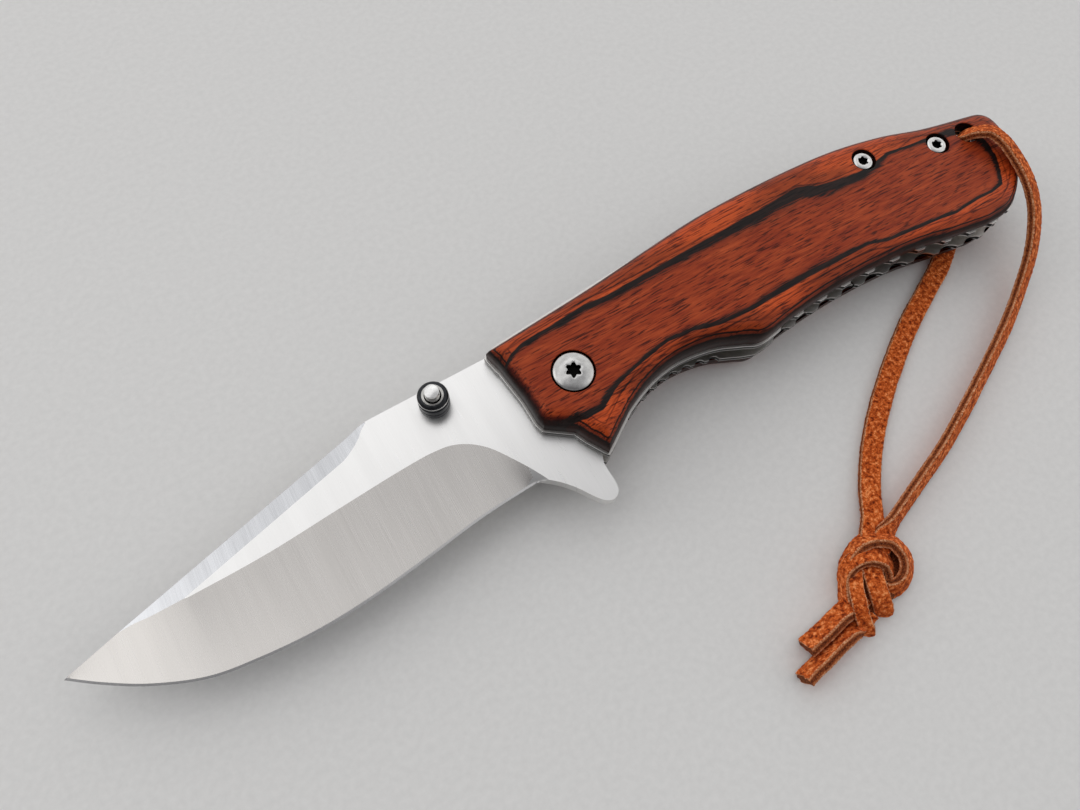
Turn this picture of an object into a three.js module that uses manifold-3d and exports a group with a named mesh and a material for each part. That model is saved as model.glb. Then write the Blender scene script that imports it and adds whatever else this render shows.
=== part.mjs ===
// Folding pocket knife with a flipper tab, thumb studs, a liner lock and a leather lanyard.
// Millimetres, +Z up. The knife lies open on its back scale, tip towards -X, edge towards -Y.
// Every outline is drawn in the pivot frame, with the pivot axis at x = 0, y = 0.

import * as THREE from 'three';
import { mergeVertices } from 'three/addons/utils/BufferGeometryUtils.js';
import Module from 'manifold-3d';

const wasm = await Module();
wasm.setup();

// Stack through the handle
const BLADE_T = 2.8;
const WASHER_T = 0.2;
const WASHER_PLAY = 0.05;
const LINER_T = 1.2;
const SCALE_T = 4.8;

// Handle outline, from the pivot axis
const NOSE = 9.4;
const BUTT_REACH = 105.8;
const SPINE_FRONT = 12.4;
const SPINE_CREST = 16.4;
const SPINE_TAIL = 9.0;
const GUARD_DROP = 14.6;
const GROOVE_X = 18;
const GROOVE_DROP = 6.5;
const BUMP_X = 34.6;
const BUMP_DROP = 10.9;
const WAIST_DROP = 9.2;
const TAIL_DROP = 12.8;
const BUTT_ROUND = 17.8;
const LINER_PROUD = 0.4;

// Wooden scales
const BEVEL_W = 2.8;
const BEVEL_H = 3.4;
const BEVEL_STEPS = 3;
const TAPER_START = 45;
const TAPER_DROP = 2.5;

// Blade
const TIP_CLEARANCE = 11.4;
const TIP_DROP = 2.2;
const SPINE_RECESS = 0.2;
const CLIP_START = 35.8;
const HEEL_X = 14.3;
const HEEL_DROP = 12.5;
const EDGE_DROP = 15.7;
const EDGE_T = 0.4;
const GRIND_RISE = 1.2;
const GRIND_HOLLOW = 0.14;
const GRIND_OVERRUN = 0.4;
const SWEDGE_W = 3.5;
const SWEDGE_SPINE_T = 1.1;
const RIDGE_FROM_TIP = 21.2;
const RIDGE_END_FROM_TIP = 9.4;
const FLIPPER_DROP = 21.7;
const FLIPPER_X = 4.6;
const FLIPPER_W = 3.6;

// Pivot, stop pin and lock
const PIVOT_R = 2.5;
const PIVOT_PLAY = 0.1;
const PIVOT_BORE_R = 1.6;
const PIVOT_HEAD_R = 3.7;
const PIVOT_HEAD_H = 2.2;
const PIVOT_RIM = 1.2;
const PIVOT_SINK = 1.6;
const PIVOT_SINK_BACK = 2.3;
const PIVOT_BORE_GAP = 0.25;
const PIVOT_SHANK_L = 4.4;
const WASHER_R = 5.0;
const STOP_RING = 10;
const STOP_ANGLE = 88;
const STOP_R = 1.6;
const FOLD_ANGLE = 174;
const RUNNING_GAP = 0.2;
const LOCK_FACE = 6.5;
const LOCK_TOP = -0.9;
const LOCK_ROOT = 60;
const LOCK_SLOT = 1.0;
const ROOT_GAP = 0.3;
const BALL_R = 0.65;
const BALL_STAND = 0.2;
const BALL_X = 11.5;
const BALL_Y = -3.6;

// Body screws and standoffs, placed from the butt
const SCREW_1_FROM_BUTT = 31.9;
const SCREW_1_Y = 10.1;
const SCREW_2_FROM_BUTT = 15.6;
const SCREW_2_Y = 6.1;
const STANDOFF_R = 2.1;
const SCREW_R = 1.0;
const SCREW_FIT = 0.15;
const SCREW_HEAD_R = 2.05;
const SCREW_HEAD_H = 1.2;
const SCREW_SINK = 1.5;
const SCREW_GRIP = 1.3;
const SCREW_BORE_GAP = 0.4;
const PIVOT_SOCKET_R = 1.3;
const SCREW_SOCKET_R = 0.85;
const SOCKET_LOBE = 0.17;
const FACE_GAP = 0.1;

// Thumb stud
const STUD_X = -22.9;
const STUD_Y = 9.0;
const STUD_PIN_R = 1.45;
const COLLAR_R = 2.8;
const COLLAR_H = 4.3;
const STUD_FLOOR = 0.2;

// Filework on the belly edges
const VINE_PITCH = 5.75;
const VINE_START = 38.6;
const VINE_END_FROM_BUTT = 10;
const VINE_DEPTH = 0.9;
const VINE_LAND = 1.3;
const JIMP_PITCH = 2.75;
const JIMP_START = 8.8;
const JIMP_COUNT = 7;
const JIMP_DEPTH = 0.55;

// Lanyard
const HOLE_R = 2.4;
const HOLE_FROM_BUTT = 8.3;
const HOLE_Y = 5.4;
const LACE_W = 3.9;
const LACE_T = 1.5;
const LACE_SEAM = 0.3;
const KNOT_LONG = 8.6;
const KNOT_WIDE = 6.2;
const KNOT_TALL = 3.2;

// Heights of the layers
const SIDE_GAP = WASHER_T + 2 * WASHER_PLAY;
const Z_SPACE = SCALE_T + LINER_T;
const Z_BLADE = Z_SPACE + SIDE_GAP;
const Z_BLADE_TOP = Z_BLADE + BLADE_T;
const Z_LINER_FRONT = Z_BLADE_TOP + SIDE_GAP;
const Z_SCALE_FRONT = Z_LINER_FRONT + LINER_T;
const Z_TOP = Z_SCALE_FRONT + SCALE_T;
const Z_MID = Z_TOP / 2;

// Places worked out from the driving dimensions
const BLADE_REACH = BUTT_REACH - TIP_CLEARANCE;
const BLADE_SPINE = SPINE_FRONT - SPINE_RECESS;
const TANG_R = STOP_RING - STOP_R - RUNNING_GAP;
const SCREWS = [
  [BUTT_REACH - SCREW_1_FROM_BUTT, SCREW_1_Y],
  [BUTT_REACH - SCREW_2_FROM_BUTT, SCREW_2_Y],
];
const HOLE_X = BUTT_REACH - HOLE_FROM_BUTT;
const RAD = Math.PI / 180;
const STOP_X = STOP_RING * Math.cos(STOP_ANGLE * RAD);
const STOP_Y = STOP_RING * Math.sin(STOP_ANGLE * RAD);

const mix = (a, b, t) => a + (b - a) * t;
const polar = (r, degrees) => [r * Math.cos(degrees * RAD), r * Math.sin(degrees * RAD)];
const vectors = (points) => points.map(([x, y]) => new THREE.Vector2(x, y));

// Finishes
const steel = (roughness) =>
  new THREE.MeshStandardMaterial({ color: 0xc9c8c6, roughness, metalness: 1, flatShading: true });
const satin = steel(0.35);
const bright = steel(0.18);
const gunmetal = new THREE.MeshStandardMaterial({ color: 0x3b3a3a, roughness: 0.4, metalness: 1 });
const bronze = new THREE.MeshStandardMaterial({ color: 0xb07a3c, roughness: 0.4, metalness: 1 });
const wood = new THREE.MeshStandardMaterial({ color: 0xa63a18, roughness: 0.4, metalness: 0 });
const leather = new THREE.MeshStandardMaterial({ color: 0xb4561f, roughness: 0.9, metalness: 0 });

// A closed solid for cutting and joining, made from any closed geometry
function solid(geometry) {
  const bare = geometry.clone();
  bare.deleteAttribute('normal');
  bare.deleteAttribute('uv');
  const merged = mergeVertices(bare, 1e-4);
  const index = merged.getIndex().array;
  const kept = [];
  for (let i = 0; i < index.length; i += 3) {
    const [a, b, c] = [index[i], index[i + 1], index[i + 2]];
    if (a !== b && b !== c && c !== a) kept.push(a, b, c);
  }
  return new wasm.Manifold(new wasm.Mesh({
    numProp: 3,
    vertProperties: new Float32Array(merged.getAttribute('position').array),
    triVerts: new Uint32Array(kept),
  }));
}

// The geometry of a finished solid
function geometryOf(body) {
  const mesh = body.getMesh();
  const geometry = new THREE.BufferGeometry();
  geometry.setAttribute('position', new THREE.BufferAttribute(mesh.vertProperties, 3));
  geometry.setIndex(new THREE.BufferAttribute(mesh.triVerts, 1));
  geometry.computeVertexNormals();
  return geometry;
}

// The same solid upside down, for the other side of the knife
function mirrored(body) {
  const geometry = geometryOf(body).scale(1, 1, -1);
  const index = geometry.getIndex().array;
  for (let i = 0; i < index.length; i += 3) [index[i], index[i + 1]] = [index[i + 1], index[i]];
  return solid(geometry);
}

function part(name, body, material, position = [0, 0, 0]) {
  const mesh = new THREE.Mesh(geometryOf(body), material);
  mesh.name = name;
  mesh.position.set(...position);
  return mesh;
}

const cut = (body, tools) => tools.reduce((rest, tool) => rest.subtract(tool), body);

// A prism over an outline, from height z up by h
function prism(points, z, h) {
  const geometry = new THREE.ExtrudeGeometry(new THREE.Shape(vectors(points)), {
    depth: h,
    bevelEnabled: false,
  });
  return solid(geometry.translate(0, 0, z));
}

// A round bar or a hole cutter, from height z up by h
function rod(x, y, z, r, h, sides = 28) {
  const geometry = new THREE.CylinderGeometry(r, r, h, sides).rotateX(Math.PI / 2);
  return solid(geometry.translate(x, y, z + h / 2));
}

// A turned piece about the Z axis, from a profile of radius and height
function turned(profile, sides = 28) {
  const geometry = new THREE.LatheGeometry(vectors(profile), sides);
  return solid(geometry.rotateX(Math.PI / 2));
}

// Triangles that close a flat ring of points
function capTriangles(ring) {
  const normal = new THREE.Vector3();
  ring.forEach((point, i) => {
    normal.add(new THREE.Vector3().crossVectors(point, ring[(i + 1) % ring.length]));
  });
  normal.normalize();
  const helper = Math.abs(normal.z) < 0.9 ? new THREE.Vector3(0, 0, 1) : new THREE.Vector3(1, 0, 0);
  const u = new THREE.Vector3().crossVectors(helper, normal).normalize();
  const v = new THREE.Vector3().crossVectors(normal, u);
  const flat = ring.map((point) => new THREE.Vector2(point.dot(u), point.dot(v)));
  return THREE.ShapeUtils.triangulateShape(flat, []).map(([a, b, c]) => {
    const turn = flat[b].clone().sub(flat[a]).cross(flat[c].clone().sub(flat[a]));
    return turn > 0 ? [a, b, c] : [a, c, b];
  });
}

// A closed skin over rings that all have the same number of points
function loft(rings) {
  const count = rings[0].length;
  const triangles = [];
  for (let i = 0; i + 1 < rings.length; i += 1) {
    for (let j = 0; j < count; j += 1) {
      const next = (j + 1) % count;
      triangles.push([i * count + j, i * count + next, (i + 1) * count + next]);
      triangles.push([i * count + j, (i + 1) * count + next, (i + 1) * count + j]);
    }
  }
  const last = (rings.length - 1) * count;
  capTriangles(rings[0]).forEach(([a, b, c]) => triangles.push([a, c, b]));
  capTriangles(rings.at(-1)).forEach(([a, b, c]) => triangles.push([last + a, last + b, last + c]));
  const points = rings.flat();
  const volume = triangles.reduce((sum, [a, b, c]) => {
    return sum + points[a].dot(new THREE.Vector3().crossVectors(points[b], points[c]));
  }, 0);
  const facing = volume > 0 ? triangles : triangles.map(([a, b, c]) => [a, c, b]);
  const geometry = new THREE.BufferGeometry().setFromPoints(points);
  geometry.setIndex(facing.flat());
  return solid(geometry);
}

// An outline moved outwards by a distance along its own corners, inwards when negative
function offset(points, distance) {
  const ring = vectors(points);
  const turn = THREE.ShapeUtils.isClockWise(ring) ? -1 : 1;
  return ring.map((point, i) => {
    const before = point.clone().sub(ring[(i + ring.length - 1) % ring.length]).normalize();
    const after = ring[(i + 1) % ring.length].clone().sub(point).normalize();
    const bisector = new THREE.Vector2(before.y + after.y, -before.x - after.x).normalize();
    const reach = distance / Math.max(0.5, bisector.dot(new THREE.Vector2(after.y, -after.x)));
    return [point.x + bisector.x * reach * turn, point.y + bisector.y * reach * turn];
  });
}

// Samples of a smooth curve through points, without its first point
function through(points, steps) {
  const curve = new THREE.SplineCurve(vectors(points));
  return curve.getSpacedPoints(steps).slice(1).map((point) => [point.x, point.y]);
}

// Handle outline of the wood, from the spine's front corner over the butt and back to the nose
function spineLine() {
  const at = (share, y) => [share * BUTT_REACH, y];
  const front = (t) => mix(SPINE_FRONT, SPINE_CREST, t);
  const tail = (t) => mix(SPINE_CREST, SPINE_TAIL, t);
  return [
    [-1.16 * NOSE, 0.93 * SPINE_FRONT],
    at(0, SPINE_FRONT),
    at(0.113, front(0.25)),
    at(0.236, front(0.62)),
    at(0.35, front(0.92)),
    at(0.463, front(1)),
    at(0.575, tail(0.02)),
    at(0.671, tail(0.11)),
    at(0.77, tail(0.36)),
    at(0.86, tail(0.73)),
    [BUTT_REACH - 0.27 * BUTT_ROUND, tail(1)],
  ];
}

function buttLine() {
  const at = (share, y) => [BUTT_REACH - share * BUTT_ROUND, y];
  const fall = (t) => mix(SPINE_TAIL, -TAIL_DROP, t);
  return [
    at(0.27, fall(0)),
    at(0.09, fall(0.041)),
    at(0, fall(0.156)),
    at(0.017, fall(0.367)),
    at(0.135, fall(0.62)),
    at(0.371, fall(0.835)),
    at(0.674, fall(0.982)),
    at(1, fall(1)),
  ];
}

function bellyLine() {
  const at = (t, share) => [mix(BUTT_REACH - BUTT_ROUND, BUMP_X, t), -share];
  return [
    at(0, TAIL_DROP),
    at(0.16, mix(WAIST_DROP, TAIL_DROP, 0.62)),
    at(0.32, mix(WAIST_DROP, TAIL_DROP, 0.2)),
    at(0.5, WAIST_DROP),
    at(0.68, WAIST_DROP),
    at(0.86, mix(WAIST_DROP, BUMP_DROP, 0.4)),
    at(1, BUMP_DROP),
  ];
}

// Finger groove, and up to the guard
function grooveLine() {
  const into = (t, share) => [mix(BUMP_X, GROOVE_X, t), -mix(BUMP_DROP, GROOVE_DROP, share)];
  const upTo = (t, share) => [mix(GROOVE_X, 0, t), -mix(GROOVE_DROP, GUARD_DROP, share)];
  return [
    into(0, 0),
    into(0.22, 0.3),
    into(0.48, 0.72),
    into(0.75, 0.94),
    into(1, 1),
    upTo(0.22, 0.06),
    upTo(0.44, 0.2),
    upTo(0.67, 0.42),
  ];
}

// Guard and the notched front end
function noseLine() {
  return [
    [-0.149 * NOSE, -GUARD_DROP],
    [-0.38 * NOSE, -0.74 * GUARD_DROP],
    [-0.479 * NOSE, -0.589 * GUARD_DROP],
    [-0.957 * NOSE, -0.363 * GUARD_DROP],
    [-NOSE, -0.26 * GUARD_DROP],
    [-NOSE, 0.089 * SPINE_FRONT],
    [-1.085 * NOSE, 0.677 * SPINE_FRONT],
  ];
}

// Belly, bump and groove as one smooth line, from the butt to the guard
function underside(steps) {
  return through([...bellyLine(), ...grooveLine().slice(1)], steps);
}

function handleOutline() {
  const spine = [spineLine()[0], ...through(spineLine(), 26)];
  return [...spine, ...through(buttLine(), 22), ...underside(34), ...noseLine()].reverse();
}

// Height of the belly edge of the liners at a place along the handle
function bellyAt(x) {
  const away = (point) => Math.abs(point[0] - x);
  const near = underside(200).reduce((best, point) => (away(point) < away(best) ? point : best));
  return near[1] - LINER_PROUD;
}

// Thickness of a scale at a place along the handle, thinning towards the butt
function scaleThickness(x) {
  const share = (x - TAPER_START) / (BUTT_REACH - TAPER_START);
  return SCALE_T - TAPER_DROP * Math.max(0, share);
}

// A scale on its liner side, with a rounded bevel all round and the taper cut off its top
function scaleBlank() {
  const outline = handleOutline();
  const ring = (inset, height) =>
    offset(outline, -inset).map(([x, y], i) => {
      return new THREE.Vector3(x, y, height(scaleThickness(outline[i][0])));
    });
  const rings = [ring(0, () => 0)];
  for (let i = 0; i <= BEVEL_STEPS; i += 1) {
    const turn = (i / BEVEL_STEPS) * 90;
    const [rise, run] = [Math.sin(turn * RAD), 1 - Math.cos(turn * RAD)];
    rings.push(ring(BEVEL_W * run, (t) => t - (BEVEL_H * t) / SCALE_T * (1 - rise) - 0.03));
  }
  rings.push(ring(BEVEL_W, () => SCALE_T + 1));
  const far = BUTT_REACH + 5;
  const roof = new THREE.Shape(vectors([
    [-NOSE - 5, -1],
    [far, -1],
    [far, scaleThickness(far)],
    [TAPER_START, SCALE_T],
    [-NOSE - 5, SCALE_T],
  ]));
  const width = 4 * SPINE_CREST;
  const slab = new THREE.ExtrudeGeometry(roof, { depth: width, bevelEnabled: false });
  slab.translate(0, 0, -width / 2).rotateX(Math.PI / 2);
  return loft(rings).intersect(solid(slab));
}

// Height of a body screw's seat above the liner, a set depth under the tapering face
const screwSeat = (x) => scaleThickness(x) - SCREW_SINK;

function scaleBody(pivotSink) {
  const deep = 2 * SCALE_T;
  const holes = [
    rod(0, 0, -1, PIVOT_R + PIVOT_PLAY, deep),
    rod(0, 0, SCALE_T - pivotSink, PIVOT_HEAD_R + PIVOT_BORE_GAP, deep),
    rod(HOLE_X, HOLE_Y, -1, HOLE_R, deep),
  ];
  SCREWS.forEach(([x, y]) => {
    holes.push(rod(x, y, -1, SCREW_R + SCREW_FIT, deep, 24));
    holes.push(rod(x, y, screwSeat(x), SCREW_HEAD_R + SCREW_BORE_GAP, deep, 24));
  });
  return cut(scaleBlank(), holes);
}

// Round file cuts that leave a row of lands along the belly edge
function vineCuts() {
  const half = (VINE_PITCH - VINE_LAND) / 2;
  const radius = (half * half + VINE_DEPTH * VINE_DEPTH) / (2 * VINE_DEPTH);
  const cuts = [];
  for (let x = VINE_START + VINE_PITCH / 2; x < BUTT_REACH - VINE_END_FROM_BUTT; x += VINE_PITCH) {
    cuts.push(rod(x, bellyAt(x) + VINE_DEPTH - radius, -1, radius, LINER_T + 2, 28));
  }
  return cuts;
}

// Thumb notches along the lock bar
function jimpCuts() {
  const half = JIMP_PITCH * 0.36;
  const radius = (half * half + JIMP_DEPTH * JIMP_DEPTH) / (2 * JIMP_DEPTH);
  const cuts = [];
  for (let i = 0; i < JIMP_COUNT; i += 1) {
    const x = JIMP_START + JIMP_PITCH * (i + 0.5);
    cuts.push(rod(x, bellyAt(x) + JIMP_DEPTH - radius, -1, radius, LINER_T + 2, 20));
  }
  return cuts;
}

// A liner plate with its holes and the filed belly edge
function linerPlate() {
  const deep = LINER_T + 2;
  const holes = [
    rod(0, 0, -1, PIVOT_R + PIVOT_PLAY, deep),
    rod(STOP_X, STOP_Y, -1, STOP_R + FACE_GAP, deep),
    rod(HOLE_X, HOLE_Y, -1, HOLE_R, deep),
  ];
  SCREWS.forEach(([x, y]) => holes.push(rod(x, y, -1, SCREW_R + SCREW_FIT, deep, 24)));
  return cut(prism(offset(handleOutline(), LINER_PROUD), 0, LINER_T), [...holes, ...vineCuts()]);
}

// The strip of the back liner that springs in behind the tang
function lockWindow(grow, rootGrow) {
  const [x0, x1] = [LOCK_FACE + FACE_GAP - grow, LOCK_ROOT + rootGrow];
  const [y0, y1] = [-2 * GUARD_DROP, LOCK_TOP + grow];
  return prism([[x0, y0], [x1, y0], [x1, y1], [x0, y1]], -1, LINER_T + 2);
}

function lockBar() {
  const hole = rod(BALL_X, BALL_Y, -1, BALL_R + FACE_GAP / 2, LINER_T + 2, 24);
  return cut(linerPlate().intersect(lockWindow(0, 0)), [hole, ...jimpCuts()]);
}

// Tang outline behind the ricasso, from the stop shoulder round to the flipper's root
function tangLine() {
  const half = Math.asin(STOP_R / STOP_RING) / RAD + 0.6;
  const open = STOP_ANGLE + half;
  const shut = STOP_ANGLE - FOLD_ANGLE - half;
  const lock = Math.acos(LOCK_FACE / TANG_R) / RAD;
  const points = [polar(BLADE_SPINE / Math.sin(open * RAD), open)];
  for (let i = 0; i <= 6; i += 1) points.push(polar(TANG_R, mix(open, lock, i / 6)));
  for (let i = 0; i <= 6; i += 1) points.push(polar(TANG_R, mix(-lock, shut, i / 6)));
  points.push(polar(STOP_RING + STOP_R + RUNNING_GAP, shut));
  return points;
}

// Flipper tab, from its root behind the guard round its tip to the heel of the edge
function flipperLine() {
  const tip = [-FLIPPER_X, FLIPPER_W / 2 - FLIPPER_DROP];
  const points = [[tip[0] + FLIPPER_W / 2, mix(-HEEL_DROP, -FLIPPER_DROP, 0.33)]];
  for (let turn = 10; turn >= -130; turn -= 20) {
    const [x, y] = polar(FLIPPER_W / 2, turn);
    points.push([tip[0] + x, tip[1] + y]);
  }
  const heel = [-HEEL_X + 2, -HEEL_DROP - 0.8];
  points.push(...through([points.at(-1), [mix(heel[0], tip[0], 0.2), -HEEL_DROP - 3], heel], 6));
  return points;
}

// Places along the belly of the blade, between the heel and the tip
function bellyOfBlade() {
  const at = (t, drop) => [-mix(HEEL_X, BLADE_REACH, t), -drop];
  const sweep = (t) => mix(HEEL_DROP, EDGE_DROP, t);
  const rise = (t) => mix(EDGE_DROP, TIP_DROP, t);
  return [
    at(0.14, sweep(0.12)),
    at(0.28, sweep(0.56)),
    at(0.42, sweep(0.92)),
    at(0.54, EDGE_DROP),
    at(0.66, rise(0.06)),
    at(0.76, rise(0.17)),
    at(0.86, rise(0.43)),
    at(0.94, rise(0.73)),
  ];
}

// Cutting edge, from the heel to the tip
function edgeLine(steps) {
  const points = [[-HEEL_X, 0.2 - HEEL_DROP], ...bellyOfBlade(), [-BLADE_REACH, -TIP_DROP]];
  return [points[0], ...through(points, steps)];
}

function bladeOutline() {
  return [
    [-CLIP_START, BLADE_SPINE - 0.15],
    [-CLIP_START + 1.5, BLADE_SPINE],
    ...tangLine(),
    ...flipperLine(),
    ...edgeLine(40),
  ];
}

const clipY = (x) => mix(BLADE_SPINE, -TIP_DROP, (-x - CLIP_START) / (BLADE_REACH - CLIP_START));

// Share of the way between the two places where the swedge and the main grind share a ridge
function ridgeShare(x) {
  const start = BLADE_REACH - RIDGE_FROM_TIP;
  return (-x - start) / (RIDGE_FROM_TIP - RIDGE_END_FROM_TIP);
}

// Half thickness of the blade along the upper line of the main grind
function crestHeight(x) {
  const share = ridgeShare(x);
  const spine = SWEDGE_SPINE_T / 2;
  if (share < 1) return mix(BLADE_T / 2, spine, Math.max(0, share));
  const left = Math.max(0, BLADE_REACH + x) / RIDGE_END_FROM_TIP;
  return mix(0.75 * EDGE_T, spine, left);
}

// Upper line of the main grind: it plunges at the heel, runs level and follows the clip to the tip
function grindLine() {
  const at = (t, y) => [-mix(HEEL_X - 2, BLADE_REACH, t), y];
  const alongClip = (x) => [x, clipY(x) + 0.4];
  return new THREE.SplineCurve(vectors([
    [2.3 - HEEL_X, -HEEL_DROP - 2.1],
    at(0.008, -HEEL_DROP + 0.2),
    at(0.035, -8.2),
    at(0.08, -2.7),
    at(0.13, GRIND_RISE - 0.9),
    at(0.185, GRIND_RISE),
    at(0.27, GRIND_RISE - 0.1),
    at(0.41, GRIND_RISE - 0.8),
    at(0.56, GRIND_RISE - 1.6),
    at(0.69, GRIND_RISE - 1.7),
    at(0.81, GRIND_RISE - 1.4),
    alongClip(1.5 + RIDGE_END_FROM_TIP - BLADE_REACH),
    alongClip(-BLADE_REACH - 1),
  ]));
}

// Line of the edge under the main grind, run out past the heel and the tip
function grindFoot() {
  const ends = [[0.4 - HEEL_X, -HEEL_DROP - 2.1], [-BLADE_REACH - 1.2, -TIP_DROP - 1.4]];
  return new THREE.SplineCurve(vectors([ends[0], ...bellyOfBlade(), ends[1]]));
}

// The metal that the main grind removes from the upper face, hollow between its two lines
function grindCutter() {
  const steps = 40;
  const [head, foot] = [grindLine(), grindFoot()];
  const [half, thin, past] = [BLADE_T / 2, EDGE_T / 2, 0.05];
  const rings = [];
  for (let i = 0; i <= steps; i += 1) {
    const line = head.getPoint(i / steps);
    const outwards = foot.getTangent(i / steps).rotateAround(new THREE.Vector2(), Math.PI / 2);
    const low = foot.getPoint(i / steps).addScaledVector(outwards, GRIND_OVERRUN);
    const out = low.clone().addScaledVector(outwards, 3 * GRIND_OVERRUN);
    const rise = crestHeight(line.x) - thin;
    const top = line.clone().lerp(low, -past);
    const middle = line.clone().lerp(low, 0.5);
    const slope = 1 + 2 * GRIND_HOLLOW;
    rings.push([
      new THREE.Vector3(top.x, top.y, thin + rise * (1 + past * slope)),
      new THREE.Vector3(middle.x, middle.y, thin + rise * (0.5 - GRIND_HOLLOW)),
      new THREE.Vector3(low.x, low.y, thin),
      new THREE.Vector3(out.x, out.y, thin),
      new THREE.Vector3(out.x, out.y, half + 2),
      new THREE.Vector3(top.x, top.y, half + 2),
    ]);
  }
  return loft(rings);
}

// The metal that the swedge removes along the clip, down to its ridge with the main grind
function swedgeCutter() {
  const steps = 22;
  const [roof, past] = [BLADE_T / 2 + 2, 0.12];
  const rings = [];
  for (let i = 0; i <= steps; i += 1) {
    const x = -mix(CLIP_START - 0.8, BLADE_REACH - RIDGE_END_FROM_TIP / 2, i / steps);
    const entry = Math.min(1, 0.15 + Math.sqrt(Math.max(0, -x - CLIP_START) / 6));
    const width = Math.max(0.3, SWEDGE_W * Math.min(entry, 1 - ridgeShare(x)));
    const spine = mix(BLADE_T / 2, SWEDGE_SPINE_T / 2, Math.min(1, 0.15 + (-x - CLIP_START + 0.8) / 5));
    const crest = crestHeight(Math.max(x, RIDGE_END_FROM_TIP - BLADE_REACH));
    const reach = width * (1 + past);
    const low = [x - 0.25 * reach, clipY(x) - reach];
    rings.push([
      new THREE.Vector3(...low, Math.max(spine, crest) + past * (crest - spine) + 0.004),
      new THREE.Vector3(x, clipY(x), spine),
      new THREE.Vector3(x, clipY(x) + 1, spine),
      new THREE.Vector3(x, clipY(x) + 1, roof),
      new THREE.Vector3(...low, roof),
    ]);
  }
  return loft(rings);
}

// Blade, with its middle plane at z = 0
function blade() {
  const half = BLADE_T / 2;
  const [ballX, ballY] = [
    BALL_X * Math.cos(FOLD_ANGLE * RAD) + BALL_Y * Math.sin(FOLD_ANGLE * RAD),
    BALL_Y * Math.cos(FOLD_ANGLE * RAD) - BALL_X * Math.sin(FOLD_ANGLE * RAD),
  ];
  return cut(prism(bladeOutline(), -half, BLADE_T), [
    grindCutter(),
    mirrored(grindCutter()),
    swedgeCutter(),
    mirrored(swedgeCutter()),
    rod(0, 0, -BLADE_T, PIVOT_R + PIVOT_PLAY, 2 * BLADE_T),
    rod(STUD_X, STUD_Y, -BLADE_T, STUD_PIN_R + FACE_GAP, 2 * BLADE_T),
    rod(ballX, ballY, -half - 1, BALL_R + FACE_GAP, 1.4, 20),
  ]);
}

// Six-lobed driver socket, cut down from height z
function socket(r, z, depth, steps) {
  const points = [];
  for (let i = 0; i < 6 * steps; i += 1) {
    const lobe = 1 + SOCKET_LOBE * Math.cos((i / steps) * 2 * Math.PI);
    points.push(polar(r * lobe, (i / steps) * 60));
  }
  return prism(points, z - depth, depth + 1);
}

// Domed pivot screw, head seated at z = 0 and shank below
function pivotScrew() {
  const crown = [];
  for (let i = 0; i <= 4; i += 1) {
    const turn = (i / 4) * 90;
    const height = mix(PIVOT_RIM, PIVOT_HEAD_H, Math.sin(turn * RAD));
    crown.push([PIVOT_HEAD_R * Math.cos(turn * RAD), height]);
  }
  crown[crown.length - 1][0] = 0;
  const shank = PIVOT_BORE_R - FACE_GAP;
  return turned([[0, -PIVOT_SHANK_L], [shank, -PIVOT_SHANK_L], [shank, 0], [PIVOT_HEAD_R, 0], ...crown])
    .subtract(socket(PIVOT_SOCKET_R, PIVOT_HEAD_H, PIVOT_SOCKET_R, 5));
}

// Ring-headed body screw, head seated at z = 0 and shank below
function bodyScrew(seat) {
  const shankL = seat + LINER_T + SCREW_GRIP;
  const edge = 0.35;
  return turned([
    [0, -shankL],
    [SCREW_R, -shankL],
    [SCREW_R, 0],
    [SCREW_HEAD_R, 0],
    [SCREW_HEAD_R, SCREW_HEAD_H - edge],
    [SCREW_HEAD_R - edge, SCREW_HEAD_H],
    [0, SCREW_HEAD_H],
  ], 24).subtract(socket(SCREW_SOCKET_R, SCREW_HEAD_H, SCREW_SOCKET_R, 4));
}

// A tube or washer standing on z = 0
function ringBody(outer, inner, height, sides = 24) {
  return rod(0, 0, 0, outer, height, sides).subtract(rod(0, 0, -1, inner, height + 2, sides));
}

// Grooved collar of the thumb stud, standing on the blade at z = 0
function studCollar() {
  const inner = STUD_PIN_R + FACE_GAP;
  const groove = 0.25;
  return turned([
    [inner, 0],
    [COLLAR_R, 0],
    [COLLAR_R, COLLAR_H - 1.4],
    [COLLAR_R - groove, COLLAR_H - 1.2],
    [COLLAR_R - groove, COLLAR_H - 0.9],
    [COLLAR_R, COLLAR_H - 0.7],
    [COLLAR_R - 0.1, COLLAR_H - 0.4],
    [COLLAR_R - 0.7, COLLAR_H],
    [inner, COLLAR_H],
    [inner, 0],
  ]);
}

// Stud pin through both collars, with its middle at z = 0
function studPin(reach) {
  const crown = 0.3;
  return turned([
    [0, -reach],
    [STUD_PIN_R - crown, -reach],
    [STUD_PIN_R, crown - reach],
    [STUD_PIN_R, reach - crown],
    [STUD_PIN_R - crown, reach],
    [0, reach],
  ]);
}

// Flat lace along a route of places, each with the direction that its flat side faces
function lace(route) {
  const places = route.map(([x, y, z]) => new THREE.Vector3(x, y, z));
  const turns = route.map(([, , , x, y, z]) => new THREE.Vector3(x, y, z));
  const path = new THREE.CatmullRomCurve3(places, false, 'centripetal');
  const facing = new THREE.CatmullRomCurve3(turns);
  const steps = Math.round(path.getLength() / 3.4);
  const rings = [];
  for (let i = 0; i <= steps; i += 1) {
    const t = path.getUtoTmapping(i / steps);
    const along = path.getTangent(t);
    const up = facing.getPoint(t);
    const side = new THREE.Vector3().crossVectors(along, up).normalize();
    up.crossVectors(side, along).normalize();
    rings.push(laceSection().map(([w, h]) => {
      return path.getPoint(t).addScaledVector(side, w).addScaledVector(up, h);
    }));
  }
  return loft(rings);
}

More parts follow.
